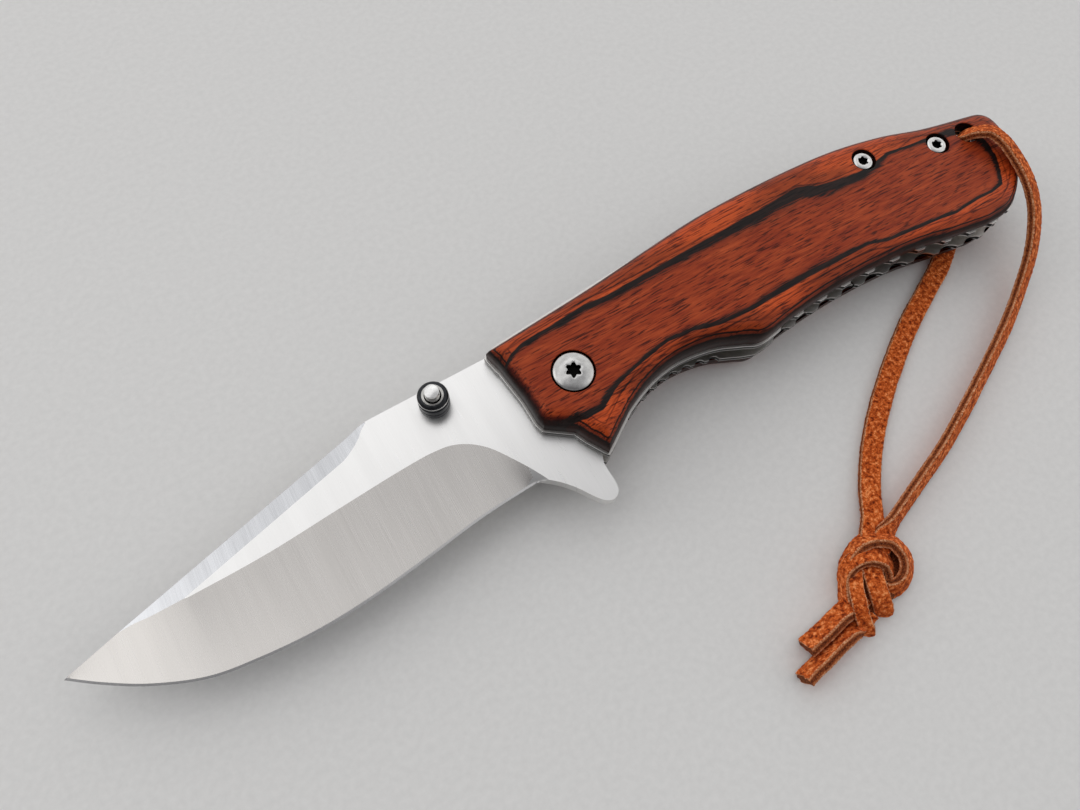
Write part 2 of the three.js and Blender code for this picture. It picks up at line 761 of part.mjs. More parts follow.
// Section of the lace, a flat bar with its corners cut
function laceSection() {
  const [w, h, c] = [LACE_W / 2, LACE_T / 2, 0.4];
  const half = [[w, h - c], [w - c, h], [c - w, h], [-w, h - c]];
  return [...half, ...half.map(([x, y]) => [-x, -y])];
}

// Strand that leaves the top of the hole and hangs over the butt down to the knot, on its edge
const TOP_STRAND = [
  [HOLE_X, HOLE_Y, Z_MID + LACE_SEAM / 2, -0.32, 0.95, 0],
  [HOLE_X - 0.1, HOLE_Y + 0.1, Z_MID + 2.4, -0.32, 0.95, 0],
  [HOLE_X - 0.2, HOLE_Y + 0.2, Z_TOP - 4.2, -0.2, 0.95, 0.2],
  [HOLE_X + 0.1, HOLE_Y - 0.7, Z_TOP - 2.2, -0.16, 0.83, 0.53],
  [HOLE_X + 0.8, HOLE_Y - 1.9, Z_TOP - 0.6, 0.07, 0.64, 0.76],
  [HOLE_X + 2.4, HOLE_Y - 3.3, Z_TOP - 0.2, 0.33, 0.25, 0.91],
  [100.7, -0.8, 15.1, 0.42, -0.04, 0.91],
  [100.8, -4.3, 14.5, 0.43, -0.21, 0.88],
  [100.9, -8.7, 13.1, 0.43, -0.34, 0.84],
  [100.6, -12.3, 11.4, 0.41, -0.48, 0.78],
  [99.8, -15.5, 9.5, 0.37, -0.58, 0.73],
  [98.1, -18.6, 7.7, 0.34, -0.65, 0.68],
  [95.9, -21.7, 5.6, 0.32, -0.69, 0.65],
  [92.4, -24.9, 3.8, 0.35, -0.69, 0.63],
  [83.8, -30.4, 2.9, 0.36, -0.71, 0.61],
  [74.4, -35.2, 2.5, 0.35, -0.74, 0.58],
  [64.9, -39.7, 2.4, 0.34, -0.75, 0.57],
  [55.3, -43.8, 2.4, 0.3, -0.78, 0.54],
  [46.9, -46.7, 2.4, 0.28, -0.81, 0.52],
  [37.6, -49.9, 2.5, 0.28, -0.8, 0.52],
];

// Strand that leaves the bottom of the hole and lies under the butt to the knot
const LOW = LACE_T / 2 + 0.04;
const BOTTOM_STRAND = [
  [HOLE_X, HOLE_Y, Z_MID - LACE_SEAM / 2, 0.5, 0.86, 0],
  [HOLE_X, HOLE_Y, Z_MID - 3, 0.5, 0.86, 0],
  [HOLE_X - 0.1, HOLE_Y - 0.1, 2.6, 0.48, 0.86, 0.15],
  [HOLE_X - 1.2, HOLE_Y - 1.8, LOW + 0.2, 0.2, 0.35, 0.93],
  [HOLE_X - 3.6, HOLE_Y - 5.6, LOW, 0, 0, 1],
  [89.8, -7.4, LOW, 0, 0, 1],
  [83.2, -12.7, LOW, 0, 0, 1],
  [75.9, -16.4, LOW, 0, 0, 1],
  [67.9, -20.4, LOW, 0, 0, 1],
  [59.2, -25.7, LOW, 0, 0, 1],
  [51.2, -31.3, LOW, 0, 0, 1],
  [44.3, -37.2, LOW, 0, 0, 1],
  [38.9, -43.0, LOW + 0.4, 0, 0, 1],
  [35.3, -47.7, LOW + 1.2, 0, 0, 1],
];

const KNOT = [29.8, -54.2];
const TAILS = [
  [[24.6, -55.6, 2.6, 0, 0, 1], [18.6, -57.2, 1.2, 0, 0, 1], [11.2, -57.9, LOW, 0, 0, 1]],
  [[25.2, -58.2, 2.2, 0, 0, 1], [17.6, -60.8, 1.0, 0, 0, 1], [8.2, -63.3, LOW, 0, 0, 1]],
];

// Overhand knot of both strands as one lump, flat where it lies, with its two tails
function knotBody() {
  const ball = new THREE.SphereGeometry(1, 20, 12);
  ball.scale(KNOT_LONG, KNOT_WIDE, KNOT_TALL).rotateZ(42 * RAD);
  ball.translate(KNOT[0], KNOT[1], KNOT_TALL - 0.5);
  const around = [[-4, -4], [4, -4], [4, 4], [-4, 4]];
  const corners = around.map(([x, y]) => [KNOT[0] + x * KNOT_LONG, KNOT[1] + y * KNOT_LONG]);
  const floor = prism(corners, -2 * KNOT_TALL, 2 * KNOT_TALL);
  return TAILS.reduce((lump, tail) => lump.add(lace(tail)), solid(ball)).subtract(floor);
}

// Scales and liners
function frame() {
  const plate = linerPlate();
  return [
    part('scale_back', mirrored(scaleBody(PIVOT_SINK_BACK)), wood, [0, 0, SCALE_T]),
    part('scale_front', scaleBody(PIVOT_SINK), wood, [0, 0, Z_SCALE_FRONT]),
    part('liner_back', cut(plate, [lockWindow(LOCK_SLOT, ROOT_GAP)]), satin, [0, 0, SCALE_T]),
    part('liner_front', plate, satin, [0, 0, Z_LINER_FRONT]),
  ];
}

// Pivot barrel with its two screws and washers, and the stop pin above it
function pivot() {
  const [seatBack, seatFront] = [PIVOT_SINK_BACK, Z_TOP - PIVOT_SINK];
  const barrel = ringBody(PIVOT_R, PIVOT_BORE_R, seatFront - seatBack - 2 * FACE_GAP);
  const washer = ringBody(WASHER_R, PIVOT_R + PIVOT_PLAY, WASHER_T);
  const stop = rod(STOP_X, STOP_Y, 0, STOP_R, Z_SCALE_FRONT - SCALE_T - 2 * FACE_GAP);
  return [
    part('pivot_barrel', barrel, satin, [0, 0, seatBack + FACE_GAP]),
    part('pivot_screw_front', pivotScrew(), bright, [0, 0, seatFront]),
    part('pivot_screw_back', mirrored(pivotScrew()), bright, [0, 0, seatBack]),
    part('washer_back', washer, bronze, [0, 0, Z_SPACE + WASHER_PLAY]),
    part('washer_front', washer, bronze, [0, 0, Z_BLADE_TOP + WASHER_PLAY]),
    part('stop_pin', stop, satin, [0, 0, SCALE_T + FACE_GAP]),
  ];
}

// A standoff between the liners with a screw from each side
function fastener([x, y], i) {
  const pillar = ringBody(STANDOFF_R, SCREW_R + SCREW_FIT, Z_LINER_FRONT - Z_SPACE);
  const seat = screwSeat(x);
  return [
    part(`standoff_${i + 1}`, pillar, satin, [x, y, Z_SPACE]),
    part(`screw_front_${i + 1}`, bodyScrew(seat), bright, [x, y, Z_SCALE_FRONT + seat]),
    part(`screw_back_${i + 1}`, mirrored(bodyScrew(seat)), bright, [x, y, SCALE_T - seat]),
  ];
}

function handle() {
  const group = new THREE.Group();
  return group.add(...frame(), ...pivot(), ...SCREWS.flatMap(fastener));
}

function bladeAssembly() {
  const group = new THREE.Group();
  const face = BLADE_T / 2;
  const reach = Z_MID - STUD_FLOOR;
  group.position.z = Z_MID;
  group.add(
    part('blade', blade(), satin),
    part('stud_pin', studPin(reach), bright, [STUD_X, STUD_Y, 0]),
    part('stud_collar_front', studCollar(), gunmetal, [STUD_X, STUD_Y, face]),
    part('stud_collar_back', mirrored(studCollar()), gunmetal, [STUD_X, STUD_Y, -face]),
  );
  return group;
}

function lockAssembly() {
  const group = new THREE.Group();
  group.position.z = SCALE_T;
  const ball = solid(new THREE.SphereGeometry(BALL_R, 12, 8).rotateX(Math.PI / 2));
  group.add(
    part('lock_bar', lockBar(), satin),
    part('detent_ball', ball, bright, [BALL_X, BALL_Y, LINER_T + BALL_STAND - BALL_R]),
  );
  return group;
}

function lanyard() {
  const group = new THREE.Group();
  group.add(
    part('lanyard_strand_top', lace(TOP_STRAND), leather),
    part('lanyard_strand_bottom', lace(BOTTOM_STRAND), leather),
    part('lanyard_knot', knotBody(), leather),
  );
  return group;
}

// The whole knife, moved so that the origin is under the middle of the knife without its lanyard
const knife = new THREE.Group();
knife.add(handle(), bladeAssembly(), lockAssembly());
knife.updateMatrixWorld(true);
const box = new THREE.Box3().setFromObject(knife, true);
knife.add(lanyard());
knife.position.set(-(box.min.x + box.max.x) / 2, -(box.min.y + box.max.y) / 2, -box.min.z);

export default knife;
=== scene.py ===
# %% [markdown]
# Folding pocket knife in Blender.
# The knife lies open on its back scale: a satin steel blade with a flipper tab and thumb studs,
# laminated wood scales on filed steel liners, and a suede lace with an overhand knot.
# The solids come in as a fixed frame. What needs a finer surface is modelled again over them,
# in the same place, and the rest of the solids get their finish here.

# %% Load the frame
import math
import bmesh
import bpy
import numpy as np
from mathutils import Matrix, Vector, noise
from mathutils.geometry import delaunay_2d_cdt


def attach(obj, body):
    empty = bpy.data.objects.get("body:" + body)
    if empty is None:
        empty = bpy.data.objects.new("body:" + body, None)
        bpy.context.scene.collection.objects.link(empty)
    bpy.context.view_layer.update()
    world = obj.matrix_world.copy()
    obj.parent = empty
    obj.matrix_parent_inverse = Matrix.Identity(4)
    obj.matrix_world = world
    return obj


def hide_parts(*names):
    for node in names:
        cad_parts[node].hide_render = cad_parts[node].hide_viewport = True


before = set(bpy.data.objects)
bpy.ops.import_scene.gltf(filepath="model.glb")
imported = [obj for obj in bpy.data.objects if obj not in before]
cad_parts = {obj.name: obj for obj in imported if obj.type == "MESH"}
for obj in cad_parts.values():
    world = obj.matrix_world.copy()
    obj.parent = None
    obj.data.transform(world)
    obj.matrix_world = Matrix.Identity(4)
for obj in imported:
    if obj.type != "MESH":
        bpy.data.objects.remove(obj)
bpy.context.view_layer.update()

# %% [markdown]
# All sizes below are millimetres from the pivot axis, with the tip towards -X, the edge towards -Y
# and the table at z = 0. One helper turns them into metres in the frame of the solids.

# %% Millimetres to metres
PIVOT = (-5.95177, 2.447895)
SCALE_T, LINER_T, BLADE_T = 4.8, 1.2, 2.8
Z_LINER, Z_FRONT_LINER, Z_SCALE, Z_TOP = 4.8, 9.4, 10.6, 15.4
Z_MID = Z_TOP / 2


def place(x, y, z):
    return Vector(((x + PIVOT[0]) / 1000, (y + PIVOT[1]) / 1000, z / 1000))


def mix(a, b, t):
    return a + (b - a) * t


print("pivot axis at", tuple(round(v, 5) for v in place(0, 0, Z_MID)))

# %% [markdown]
# The photograph looks down steeply from close by, with the knife turned across the picture.
# The lens and the place of the camera were worked out from the straight spine, the round heads
# and the sizes of the pieces, so the perspective is a real camera's and needs no shift.

# %% Camera
TILT, ROLL, TURN = math.radians(69.37), math.radians(5.45), math.radians(-36)
FOCAL_PX, PHOTO_WIDTH_PX, CAMERA_SPOT = 785, 1080, (-35.82, -40.47, 140)

ground_right = Vector((math.cos(TURN), math.sin(TURN), 0))
away = Vector((-math.sin(TURN), math.cos(TURN), 0))
look = away * math.cos(TILT) - Vector((0, 0, math.sin(TILT)))
above = away * math.sin(TILT) + Vector((0, 0, math.cos(TILT)))
right = ground_right * math.cos(ROLL) + above * math.sin(ROLL)
up = above * math.cos(ROLL) - ground_right * math.sin(ROLL)
lens = bpy.data.cameras.new("camera")
lens.sensor_width = 36
lens.lens = lens.sensor_width * FOCAL_PX / PHOTO_WIDTH_PX
lens.clip_start = 0.005
camera = bpy.data.objects.new("camera", lens)
bpy.context.scene.collection.objects.link(camera)
facing = Matrix((right, up, -look)).transposed().to_4x4()
camera.matrix_world = Matrix.Translation(place(*CAMERA_SPOT)) @ facing
bpy.context.scene.camera = camera
print("camera at", tuple(round(v, 4) for v in camera.location))

# %% [markdown]
# Smooth outlines are Catmull-Rom curves through a few measured places. A small set of helpers
# samples them at even steps, builds a skin over rings of points, and makes an object of a mesh.

# %% Curves and skins
def catmull(a, b, c, d, t):
    return [
        0.5 * (2 * q + (r - p) * t + (2 * p - 5 * q + 4 * r - s) * t * t
               + (3 * q - p - 3 * r + s) * t ** 3)
        for p, q, r, s in zip(a, b, c, d)
    ]


def curve_at(points, share):
    last = len(points) - 1
    spot = min(max(share, 0), 1) * last
    i = min(int(spot), last - 1)
    around = [points[max(i - 1, 0)], points[i], points[i + 1], points[min(i + 2, last)]]
    return catmull(*around, spot - i)


def even(line, steps):
    """Points at even distances along a line of points, whose first three numbers are a place."""
    lengths = [0]
    for a, b in zip(line, line[1:]):
        lengths.append(lengths[-1] + math.dist(a[:3], b[:3]))
    out, i = [], 0
    for k in range(steps + 1):
        want = lengths[-1] * k / steps
        while i < len(line) - 2 and lengths[i + 1] < want:
            i += 1
        t = (want - lengths[i]) / max(lengths[i + 1] - lengths[i], 1e-9)
        out.append([mix(a, b, t) for a, b in zip(line[i], line[i + 1])])
    return out


def smooth_line(points, steps):
    count = 24 * len(points)
    return even([curve_at(points, i / count) for i in range(count + 1)], steps)


def circle(x, y, radius, sides):
    return [(x + radius * math.cos(2 * math.pi * k / sides),
             y + radius * math.sin(2 * math.pi * k / sides)) for k in range(sides)]


def mesh_object(name, points, faces, sharp=None, **layers):
    """A smooth object from points in millimetres. A layer gives each point a number of its own."""
    mesh = bpy.data.meshes.new(name)
    mesh.from_pydata([place(*p) for p in points], [], faces)
    for layer, values in layers.items():
        mesh.attributes.new(layer, "FLOAT", "POINT").data.foreach_set("value", values)
    mesh.update()
    obj = bpy.data.objects.new(name, mesh)
    bpy.context.scene.collection.objects.link(obj)
    finish_mesh(obj, sharp)
    return obj


def finish_mesh(obj, sharp):
    """Even normals, smooth faces, and sharp edges above an angle in degrees."""
    work = bmesh.new()
    work.from_mesh(obj.data)
    bmesh.ops.remove_doubles(work, verts=work.verts, dist=1e-7)
    bmesh.ops.recalc_face_normals(work, faces=work.faces)
    for face in work.faces:
        face.smooth = True
    if sharp is not None:
        for edge in work.edges:
            inner = len(edge.link_faces) == 2
            edge.smooth = inner and edge.calc_face_angle(0) < math.radians(sharp)
    work.to_mesh(obj.data)
    work.free()


def skin(rings, closed_ends=True):
    """Faces over rings that all have the same number of points."""
    count = len(rings[0])
    faces = []
    for i in range(len(rings) - 1):
        for j in range(count):
            k = (j + 1) % count
            faces.append((i * count + j, i * count + k, (i + 1) * count + k, (i + 1) * count + j))
    if closed_ends:
        faces.append(tuple(range(count)))
        faces.append(tuple(reversed(range((len(rings) - 1) * count, len(rings) * count))))
    return [p for ring in rings for p in ring], faces


print("a quarter turn in", len(smooth_line([(1, 0), (0.7, 0.7), (0, 1)], 6)), "points")

# %% [markdown]
# The lanyard is one flat suede lace. It goes through the hole in the butt, one strand leaves at
# the top and drapes over the butt on its edge, the other leaves below and lies flat on the table,
# and both meet in an overhand knot. Each row of a route is a place and the direction that the flat
# side faces there. The places were chosen one by one along the lace in the photograph.

# %% Lace routes
LACE_W, LACE_T = 3.9, 1.5
HOLE = (97.5, 5.4)
LOW = LACE_T / 2 + 0.04

top_route = [
    (HOLE[0], HOLE[1], Z_MID + 0.15, -0.32, 0.95, 0),
    (HOLE[0] - 0.1, HOLE[1] + 0.1, Z_MID + 2.4, -0.32, 0.95, 0),
    (HOLE[0] - 0.2, HOLE[1] + 0.2, Z_TOP - 4.2, -0.2, 0.95, 0.2),
    (HOLE[0] + 0.1, HOLE[1] - 0.7, Z_TOP - 2.2, -0.16, 0.83, 0.53),
    (HOLE[0] + 0.8, HOLE[1] - 1.9, Z_TOP - 0.6, 0.07, 0.64, 0.76),
    (HOLE[0] + 2.4, HOLE[1] - 3.3, Z_TOP - 0.2, 0.33, 0.25, 0.91),
    (100.7, -0.8, 15.1, 0.42, -0.04, 0.91),
    (100.8, -4.3, 14.5, 0.43, -0.21, 0.88),
    (100.9, -8.7, 13.1, 0.43, -0.34, 0.84),
    (100.6, -12.3, 11.4, 0.41, -0.48, 0.78),
    (99.8, -15.5, 9.5, 0.37, -0.58, 0.73),
    (98.1, -18.6, 7.7, 0.34, -0.65, 0.68),
    (95.9, -21.7, 5.6, 0.32, -0.69, 0.65),
    (92.4, -24.9, 3.8, 0.35, -0.69, 0.63),
    (83.8, -30.4, 2.9, 0.36, -0.71, 0.61),
    (74.4, -35.2, 2.5, 0.35, -0.74, 0.58),
    (64.9, -39.7, 2.4, 0.34, -0.75, 0.57),
    (55.3, -43.8, 2.4, 0.3, -0.78, 0.54),
    (46.9, -46.7, 2.4, 0.28, -0.81, 0.52),
    (37.6, -49.9, 2.5, 0.28, -0.8, 0.52),
]
bottom_route = [
    (HOLE[0], HOLE[1], Z_MID - 0.15, 0.5, 0.86, 0),
    (HOLE[0], HOLE[1], Z_MID - 3, 0.5, 0.86, 0),
    (HOLE[0] - 0.1, HOLE[1] - 0.1, 2.6, 0.48, 0.86, 0.15),
    (HOLE[0] - 1.2, HOLE[1] - 1.8, LOW + 0.2, 0.2, 0.35, 0.93),
    (HOLE[0] - 3.6, HOLE[1] - 5.6, LOW, 0, 0, 1),
    (89.8, -7.4, LOW, 0, 0, 1),
    (83.2, -12.7, LOW, 0, 0, 1),
    (75.9, -16.4, LOW, 0, 0, 1),
    (67.9, -20.4, LOW, 0, 0, 1),
    (59.2, -25.7, LOW, 0, 0, 1),
    (51.2, -31.3, LOW, 0, 0, 1),
    (44.3, -37.2, LOW, 0, 0, 1),
    (38.9, -43.0, LOW + 0.4, 0, 0, 1),
    (35.3, -47.7, LOW + 1.2, 0, 0, 1),
]

print("places on the routes", len(top_route), len(bottom_route))

# %% [markdown]
# A strand is a ribbon: a cross-section with soft corners is carried along its route. Noises make it
# as uneven as cut hide, and each of them has a reach and a spacing in millimetres. Every point also
# keeps how far it is cut edge, for the material.

# %% Ribbon
SWELL, SWELL_MM = 0.035, 5
FUZZ, CUT_FUZZ, FUZZ_MM = 0.07, 0.13, 0.42
TORN, TORN_MM = 0.5, 0.7
TABLE_GAP, ROUTE_SAMPLES = 0.02, 600


def between(p, q, low, high, at):
    """The place at one knot value between two places with the knot values low and high."""
    return [mix(u, v, (at - low) / (high - low)) for u, v in zip(p, q)]


def lace_curve(route, steps):
    """Places with facings on a centripetal Catmull-Rom curve, which never loops on itself."""
    spots = [
        [2 * a - b for a, b in zip(route[0], route[1])], *route,
        [2 * a - b for a, b in zip(route[-1], route[-2])]]
    knots = [0]
    for a, b in zip(spots, spots[1:]):
        knots.append(knots[-1] + math.sqrt(math.dist(a[:3], b[:3])))
    out = []
    for k in range(steps + 1):
        spot = k / steps * (len(route) - 1)
        i = min(int(spot), len(route) - 2)
        row, at = spots[i:i + 4], knots[i:i + 4]
        t = mix(at[1], at[2], spot - i)
        for span in (1, 2):
            row = [between(row[j], row[j + 1], at[j], at[j + span], t) for j in range(4 - span)]
        out.append(between(*row, at[1], at[2], t))
    return out


def lace_section(width, thick):
    """Across, through, and how far the place is cut edge, once round the lace."""
    w, t = width / 2, thick / 2
    corner = [(w, t - 0.4, 0.8), (w - 0.05, t - 0.12, 0.5), (w - 0.28, t, 0.22), (w - 0.6, t, 0),
              (0.3 * w, t + 0.03, 0)]
    upper = corner + [(-u, v, cut) for u, v, cut in reversed(corner)]
    lower = [(u, -v, cut) for u, v, cut in reversed(upper)]
    return [(w - 0.07, 0, 1), *upper, (0.07 - w, 0, 1), *lower]


def ribbon(route, width=LACE_W, thick=LACE_T, step=0.4, cut_end=False, folded=0):
    """Points, faces and cut-edge shares of a stretch of lace, then its middle line and length."""
    dense = lace_curve(route, ROUTE_SAMPLES)
    length = sum(math.dist(a[:3], b[:3]) for a, b in zip(dense, dense[1:]))
    line = even(dense, max(8, round(length / step)))
    section = lace_section(width, thick)
    rings, cuts = [], []
    for i, (x, y, z, *facing) in enumerate(line):
        middle = Vector((x, y, z))
        along = Vector(line[min(i + 1, len(line) - 1)][:3]) - Vector(line[max(i - 1, 0)][:3])
        side = along.cross(Vector(facing)).normalized()
        face = side.cross(along).normalized()
        swell = 1 + SWELL * noise.noise(middle / SWELL_MM)
        if folded:
            left = min(1, (len(line) - 1 - i) * length / (len(line) - 1) / folded)
            swell *= mix(0.4, 1, math.sqrt(1 - (1 - left) ** 2))
        ring = []
        for u, v, cut in section:
            spot = middle + side * u * swell + face * v
            outwards = (side * u * thick / width + face * v).normalized()
            spot += outwards * (FUZZ + CUT_FUZZ * cut) * noise.noise(spot / FUZZ_MM)
            if cut_end and i == len(line) - 1:
                spot += along.normalized() * TORN * noise.noise(spot / TORN_MM)
            spot.z = max(spot.z, TABLE_GAP)
            ring.append(spot)
        rings.append(ring)
        cuts += [cut for _, _, cut in section]
    if cut_end:
        cuts[-len(section):] = [max(0.45, cut) for _, _, cut in section]
        rings.append([p.lerp(middle + along * 0.4, 0.22) for p in rings[-1]])
        cuts += [1] * len(section)
    points, faces = skin(rings)
    return [tuple(p) for p in points], faces, cuts, [p[:3] for p in line], length


def lace(name, route):
    points, faces, cuts, line, length = ribbon(route)
    return mesh_object(name, points, faces, sharp=70, cut_edge=cuts), line, length


strand_top, path_top, length_top = lace("lace_over_butt", top_route)
strand_bottom, path_bottom, length_bottom = lace("lace_under_butt", bottom_route)
print("lace lengths mm", round(length_top, 1), round(length_bottom, 1))

# %% [markdown]
# The knot is the same lace, doubled. Seen from above, an outer turn leans outwards all round it and
# shows its cut edge inside, an inner turn goes over the top, two bands come down the middle and go
# under, and two cut tails stand on their edges. Each turn is its own stretch of lace, a little
# narrower where the pull folds it, and its hidden ends dive into the middle over a small core.

# %% Turns of the knot
knot_sizes = {"standing_left": (LACE_W, LACE_T), "standing_right": (LACE_W, LACE_T),
              "outer": (3.7, 1.7), "inner": (3.4, 1.5), "band_left": (2.6, 1.5),
              "band_right": (3.5, 1.5), "tail_long": (LACE_W, 1.8), "tail_short": (LACE_W, 1.8)}
knot_turns = {
    "standing_left": [
        (35.4, -47.4, 1.99, 0, 0, 1), (34.1, -48.7, 2.1, 0, 0, 1),
        (32.2, -50.4, 2.5, 0, 0, 1), (30.3, -51.8, 3, 0, 0, 1)],
    "standing_right": [
        (38.8, -49.5, 2.5, 0.29, -0.8, 0.52), (36.7, -50.3, 2.5, 0.26, -0.69, 0.68),
        (34.3, -51.3, 2.8, 0.08, -0.06, 1), (32.2, -52.3, 3, 0, 0, 1)],
    "outer": [
        (25.2, -53.5, 1.8, -0.59, 0.69, 0.42), (26.2, -51.7, 2.2, -0.36, 0.88, 0.3),
        (27.9, -50.6, 2.7, 0.01, 0.95, 0.3), (29.8, -50, 3.1, 0.28, 0.86, 0.42),
        (31.6, -50.1, 3.4, 0.48, 0.66, 0.57), (33.4, -51, 3.6, 0.56, 0.57, 0.6),
        (34.7, -52.1, 3.6, 0.67, 0.4, 0.63), (35.3, -53.7, 3.5, 0.74, 0.15, 0.66),
        (35.5, -55.6, 3.2, 0.71, -0.26, 0.66), (34.7, -57.3, 2.9, 0.6, -0.5, 0.62),
        (33.2, -58.6, 2.5, 0.38, -0.71, 0.59), (31.6, -59.1, 2.1, 0.04, -0.81, 0.59),
        (30, -58.8, 1.8, -0.3, -0.75, 0.58), (28.9, -57.8, 1.6, -0.39, -0.71, 0.59)],
    "inner": [
        (22.4, -56.6, 1.42, -0.99, 0.1, 0.1), (22.9, -55.5, 1.82, -0.88, 0.45, 0.1),
        (23.7, -54.2, 2.13, -0.77, 0.62, 0.1), (24.4, -53, 2.57, -0.57, 0.76, 0.3),
        (25.3, -52.2, 3.18, -0.29, 0.78, 0.56), (26.4, -51.8, 3.75, 0, 0.69, 0.73),
        (27.7, -51.8, 4.09, 0.18, 0.56, 0.81), (29.1, -52.2, 4.17, 0.32, 0.45, 0.83),
        (30.3, -53, 4.17, 0.4, 0.35, 0.84), (31.3, -54, 3.87, 0.51, 0.19, 0.84),
        (31.8, -54.9, 3.23, 0.64, -0.15, 0.76), (31.9, -56, 2.52, 0.7, -0.51, 0.51),
        (31.5, -56.9, 1.76, 0.7, -0.64, 0.31)],
    "band_left": [
        (27.2, -52.2, 2.69, 0.1, 0.32, 0.94), (26, -53.2, 3.16, -0.02, 0.14, 0.99),
        (25, -54.4, 3.46, -0.13, 0.03, 0.99), (24, -55.7, 3.71, -0.18, 0.01, 0.98),
        (23.3, -57.2, 3.77, -0.24, -0.07, 0.97), (22.7, -58.6, 3.65, -0.3, -0.16, 0.94),
        (22.3, -60.1, 3.16, -0.39, -0.34, 0.86), (22.3, -61.4, 2.41, -0.52, -0.55, 0.65),
        (22.4, -62.4, 1.61, -0.57, -0.78, 0.25), (22.6, -62.9, 0.95, -0.59, -0.81, 0)],
    "band_right": [
        (29.2, -53, 2.59, 0.19, 0.26, 0.95), (28.6, -54.5, 3.25, 0, 0, 1),
        (27.9, -56, 3.55, -0.06, -0.08, 1), (27.3, -57.6, 3.47, -0.08, -0.19, 0.98),
        (27, -59.1, 3.02, -0.2, -0.36, 0.91), (26.9, -60.3, 2.26, -0.32, -0.62, 0.71),
        (27, -61.3, 1.51, -0.48, -0.84, 0.25), (27.1, -61.8, 0.95, -0.5, -0.86, 0)],
    "tail_long": [
        (26.8, -57, 1.5, -0.02, 0.14, 0.99), (24.1, -57.5, 1.5, 0, 0.25, 0.97),
        (21.7, -57.7, 2, -0.07, 0.68, 0.73), (19.5, -57.9, 2.1, -0.08, 0.82, 0.56),
        (16.7, -58.4, 2.1, -0.1, 0.83, 0.55), (13.9, -58.8, 2.1, -0.12, 0.82, 0.56),
        (11.2, -59.1, 2.1, -0.09, 0.83, 0.56)],
    "tail_short": [
        (24.8, -59.9, 0.95, 0, 0, 1), (22.8, -60.4, 0.95, 0.03, 0.04, 1),
        (20.7, -60.8, 1.3, 0, 0.43, 0.9), (19.2, -61, 1.8, -0.04, 0.82, 0.57),
        (17.2, -61.4, 2.05, -0.1, 0.92, 0.38), (15.2, -61.7, 2.1, -0.11, 0.93, 0.36),
        (12.4, -62.2, 2.1, -0.1, 0.93, 0.36), (9.6, -62.6, 2.1, -0.07, 0.93, 0.36),
        (7.8, -63, 2.1, -0.07, 0.93, 0.36)],
}
FOLDED = {"band_left": 1.3, "band_right": 2.0}
print("places in the knot", sum(len(route) for route in knot_turns.values()))

# %% [markdown]
# The turns are skinned one by one and joined to one piece over the core, a low tilted lump. The two
# bands run out at their hidden ends over a millimetre or two, where they fold away under the knot.

# %% Overhand knot
KNOT_MIDDLE, CORE_LONG, CORE_SHORT = (28.6, -56.1), (6.4, 2.6), (-2.4, 4.0)
CORE_Z, CORE_RISE = 1.5, 1.3


def core_of_knot():
    """A low lump of leather under the turns, so that nothing shows through them."""
    rings = []
    for turn in range(-80, 81, 20):
        a = math.radians(turn)
        rings.append([
            (KNOT_MIDDLE[0] + math.cos(a) * (CORE_LONG[0] * u + CORE_SHORT[0] * v),
             KNOT_MIDDLE[1] + math.cos(a) * (CORE_LONG[1] * u + CORE_SHORT[1] * v),
             CORE_Z + CORE_RISE * math.sin(a))
            for u, v in circle(0, 0, 1, 24)])
    points, faces = skin(rings)
    return points, faces, [1] * len(points)


stretches = [
    ribbon(route, *knot_sizes[key], step=0.3, cut_end=key.startswith("tail"),
           folded=FOLDED.get(key, 0))[:3]
    for key, route in knot_turns.items()]
knot_points, knot_faces, knot_cuts = [], [], []
for points, faces, cuts in (*stretches, core_of_knot()):
    start = len(knot_points)
    knot_points += points
    knot_cuts += cuts
    knot_faces += [tuple(start + i for i in face) for face in faces]
knot = mesh_object("lace_knot", knot_points, knot_faces, sharp=70, cut_edge=knot_cuts)
print("knot turns", len(knot_turns), "faces", len(knot.data.polygons))

# %% [markdown]
# Each strand takes the place of one solid and rides on the handle, and so does the knot.

# %% Lanyard on the handle
for piece, path, length in (
        (strand_top, path_top, length_top), (strand_bottom, path_bottom, length_bottom)):
    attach(piece, "handle")
    place(*path[0])
    [place(*p) for p in path]
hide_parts("lanyard_strand_top")
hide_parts("lanyard_strand_bottom")
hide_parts("lanyard_knot")
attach(knot, "handle")
print("lanyard pieces", [piece.name for piece in (strand_top, strand_bottom, knot)])

# %% [markdown]
# The blade is made as a grinder makes it: a flat bar cut to its outline, then hollow ground on both
# faces from a line that plunges at the heel, and ground again along the clip of the spine. The two
# grinds meet in a ridge near the tip. Each grind is a cutter built over rings and taken off with a
# boolean, so the ridges come out exact, and only edges over three degrees stay sharp.

# %% Blade outline
REACH, TIP_DROP, SPINE_Y, CLIP_X, HEEL = 94.4, 2.2, 12.2, 35.8, (14.3, 12.5)
EDGE_DROP, TANG_R, SHOULDER_R, LOCK_FACE, PIVOT_BORE = 15.7, 8.2, 11.8, 6.5, 2.6
STOP_RING, STOP_R, STOP_ANGLE, FOLD_ANGLE = 10, 1.6, 88, 174


def belly_places():
    """Shares of the way to the tip, with how low the edge is there."""
    fall = ((0.14, 0.12), (0.28, 0.56), (0.42, 0.92), (0.54, 1))
    rise = ((0.66, 0.06), (0.76, 0.17), (0.86, 0.43), (0.94, 0.73))
    drops = [(t, mix(HEEL[1], EDGE_DROP, share)) for t, share in fall]
    drops += [(t, mix(EDGE_DROP, TIP_DROP, share)) for t, share in rise]
    return [(-mix(HEEL[0], REACH, t), -drop) for t, drop in drops]


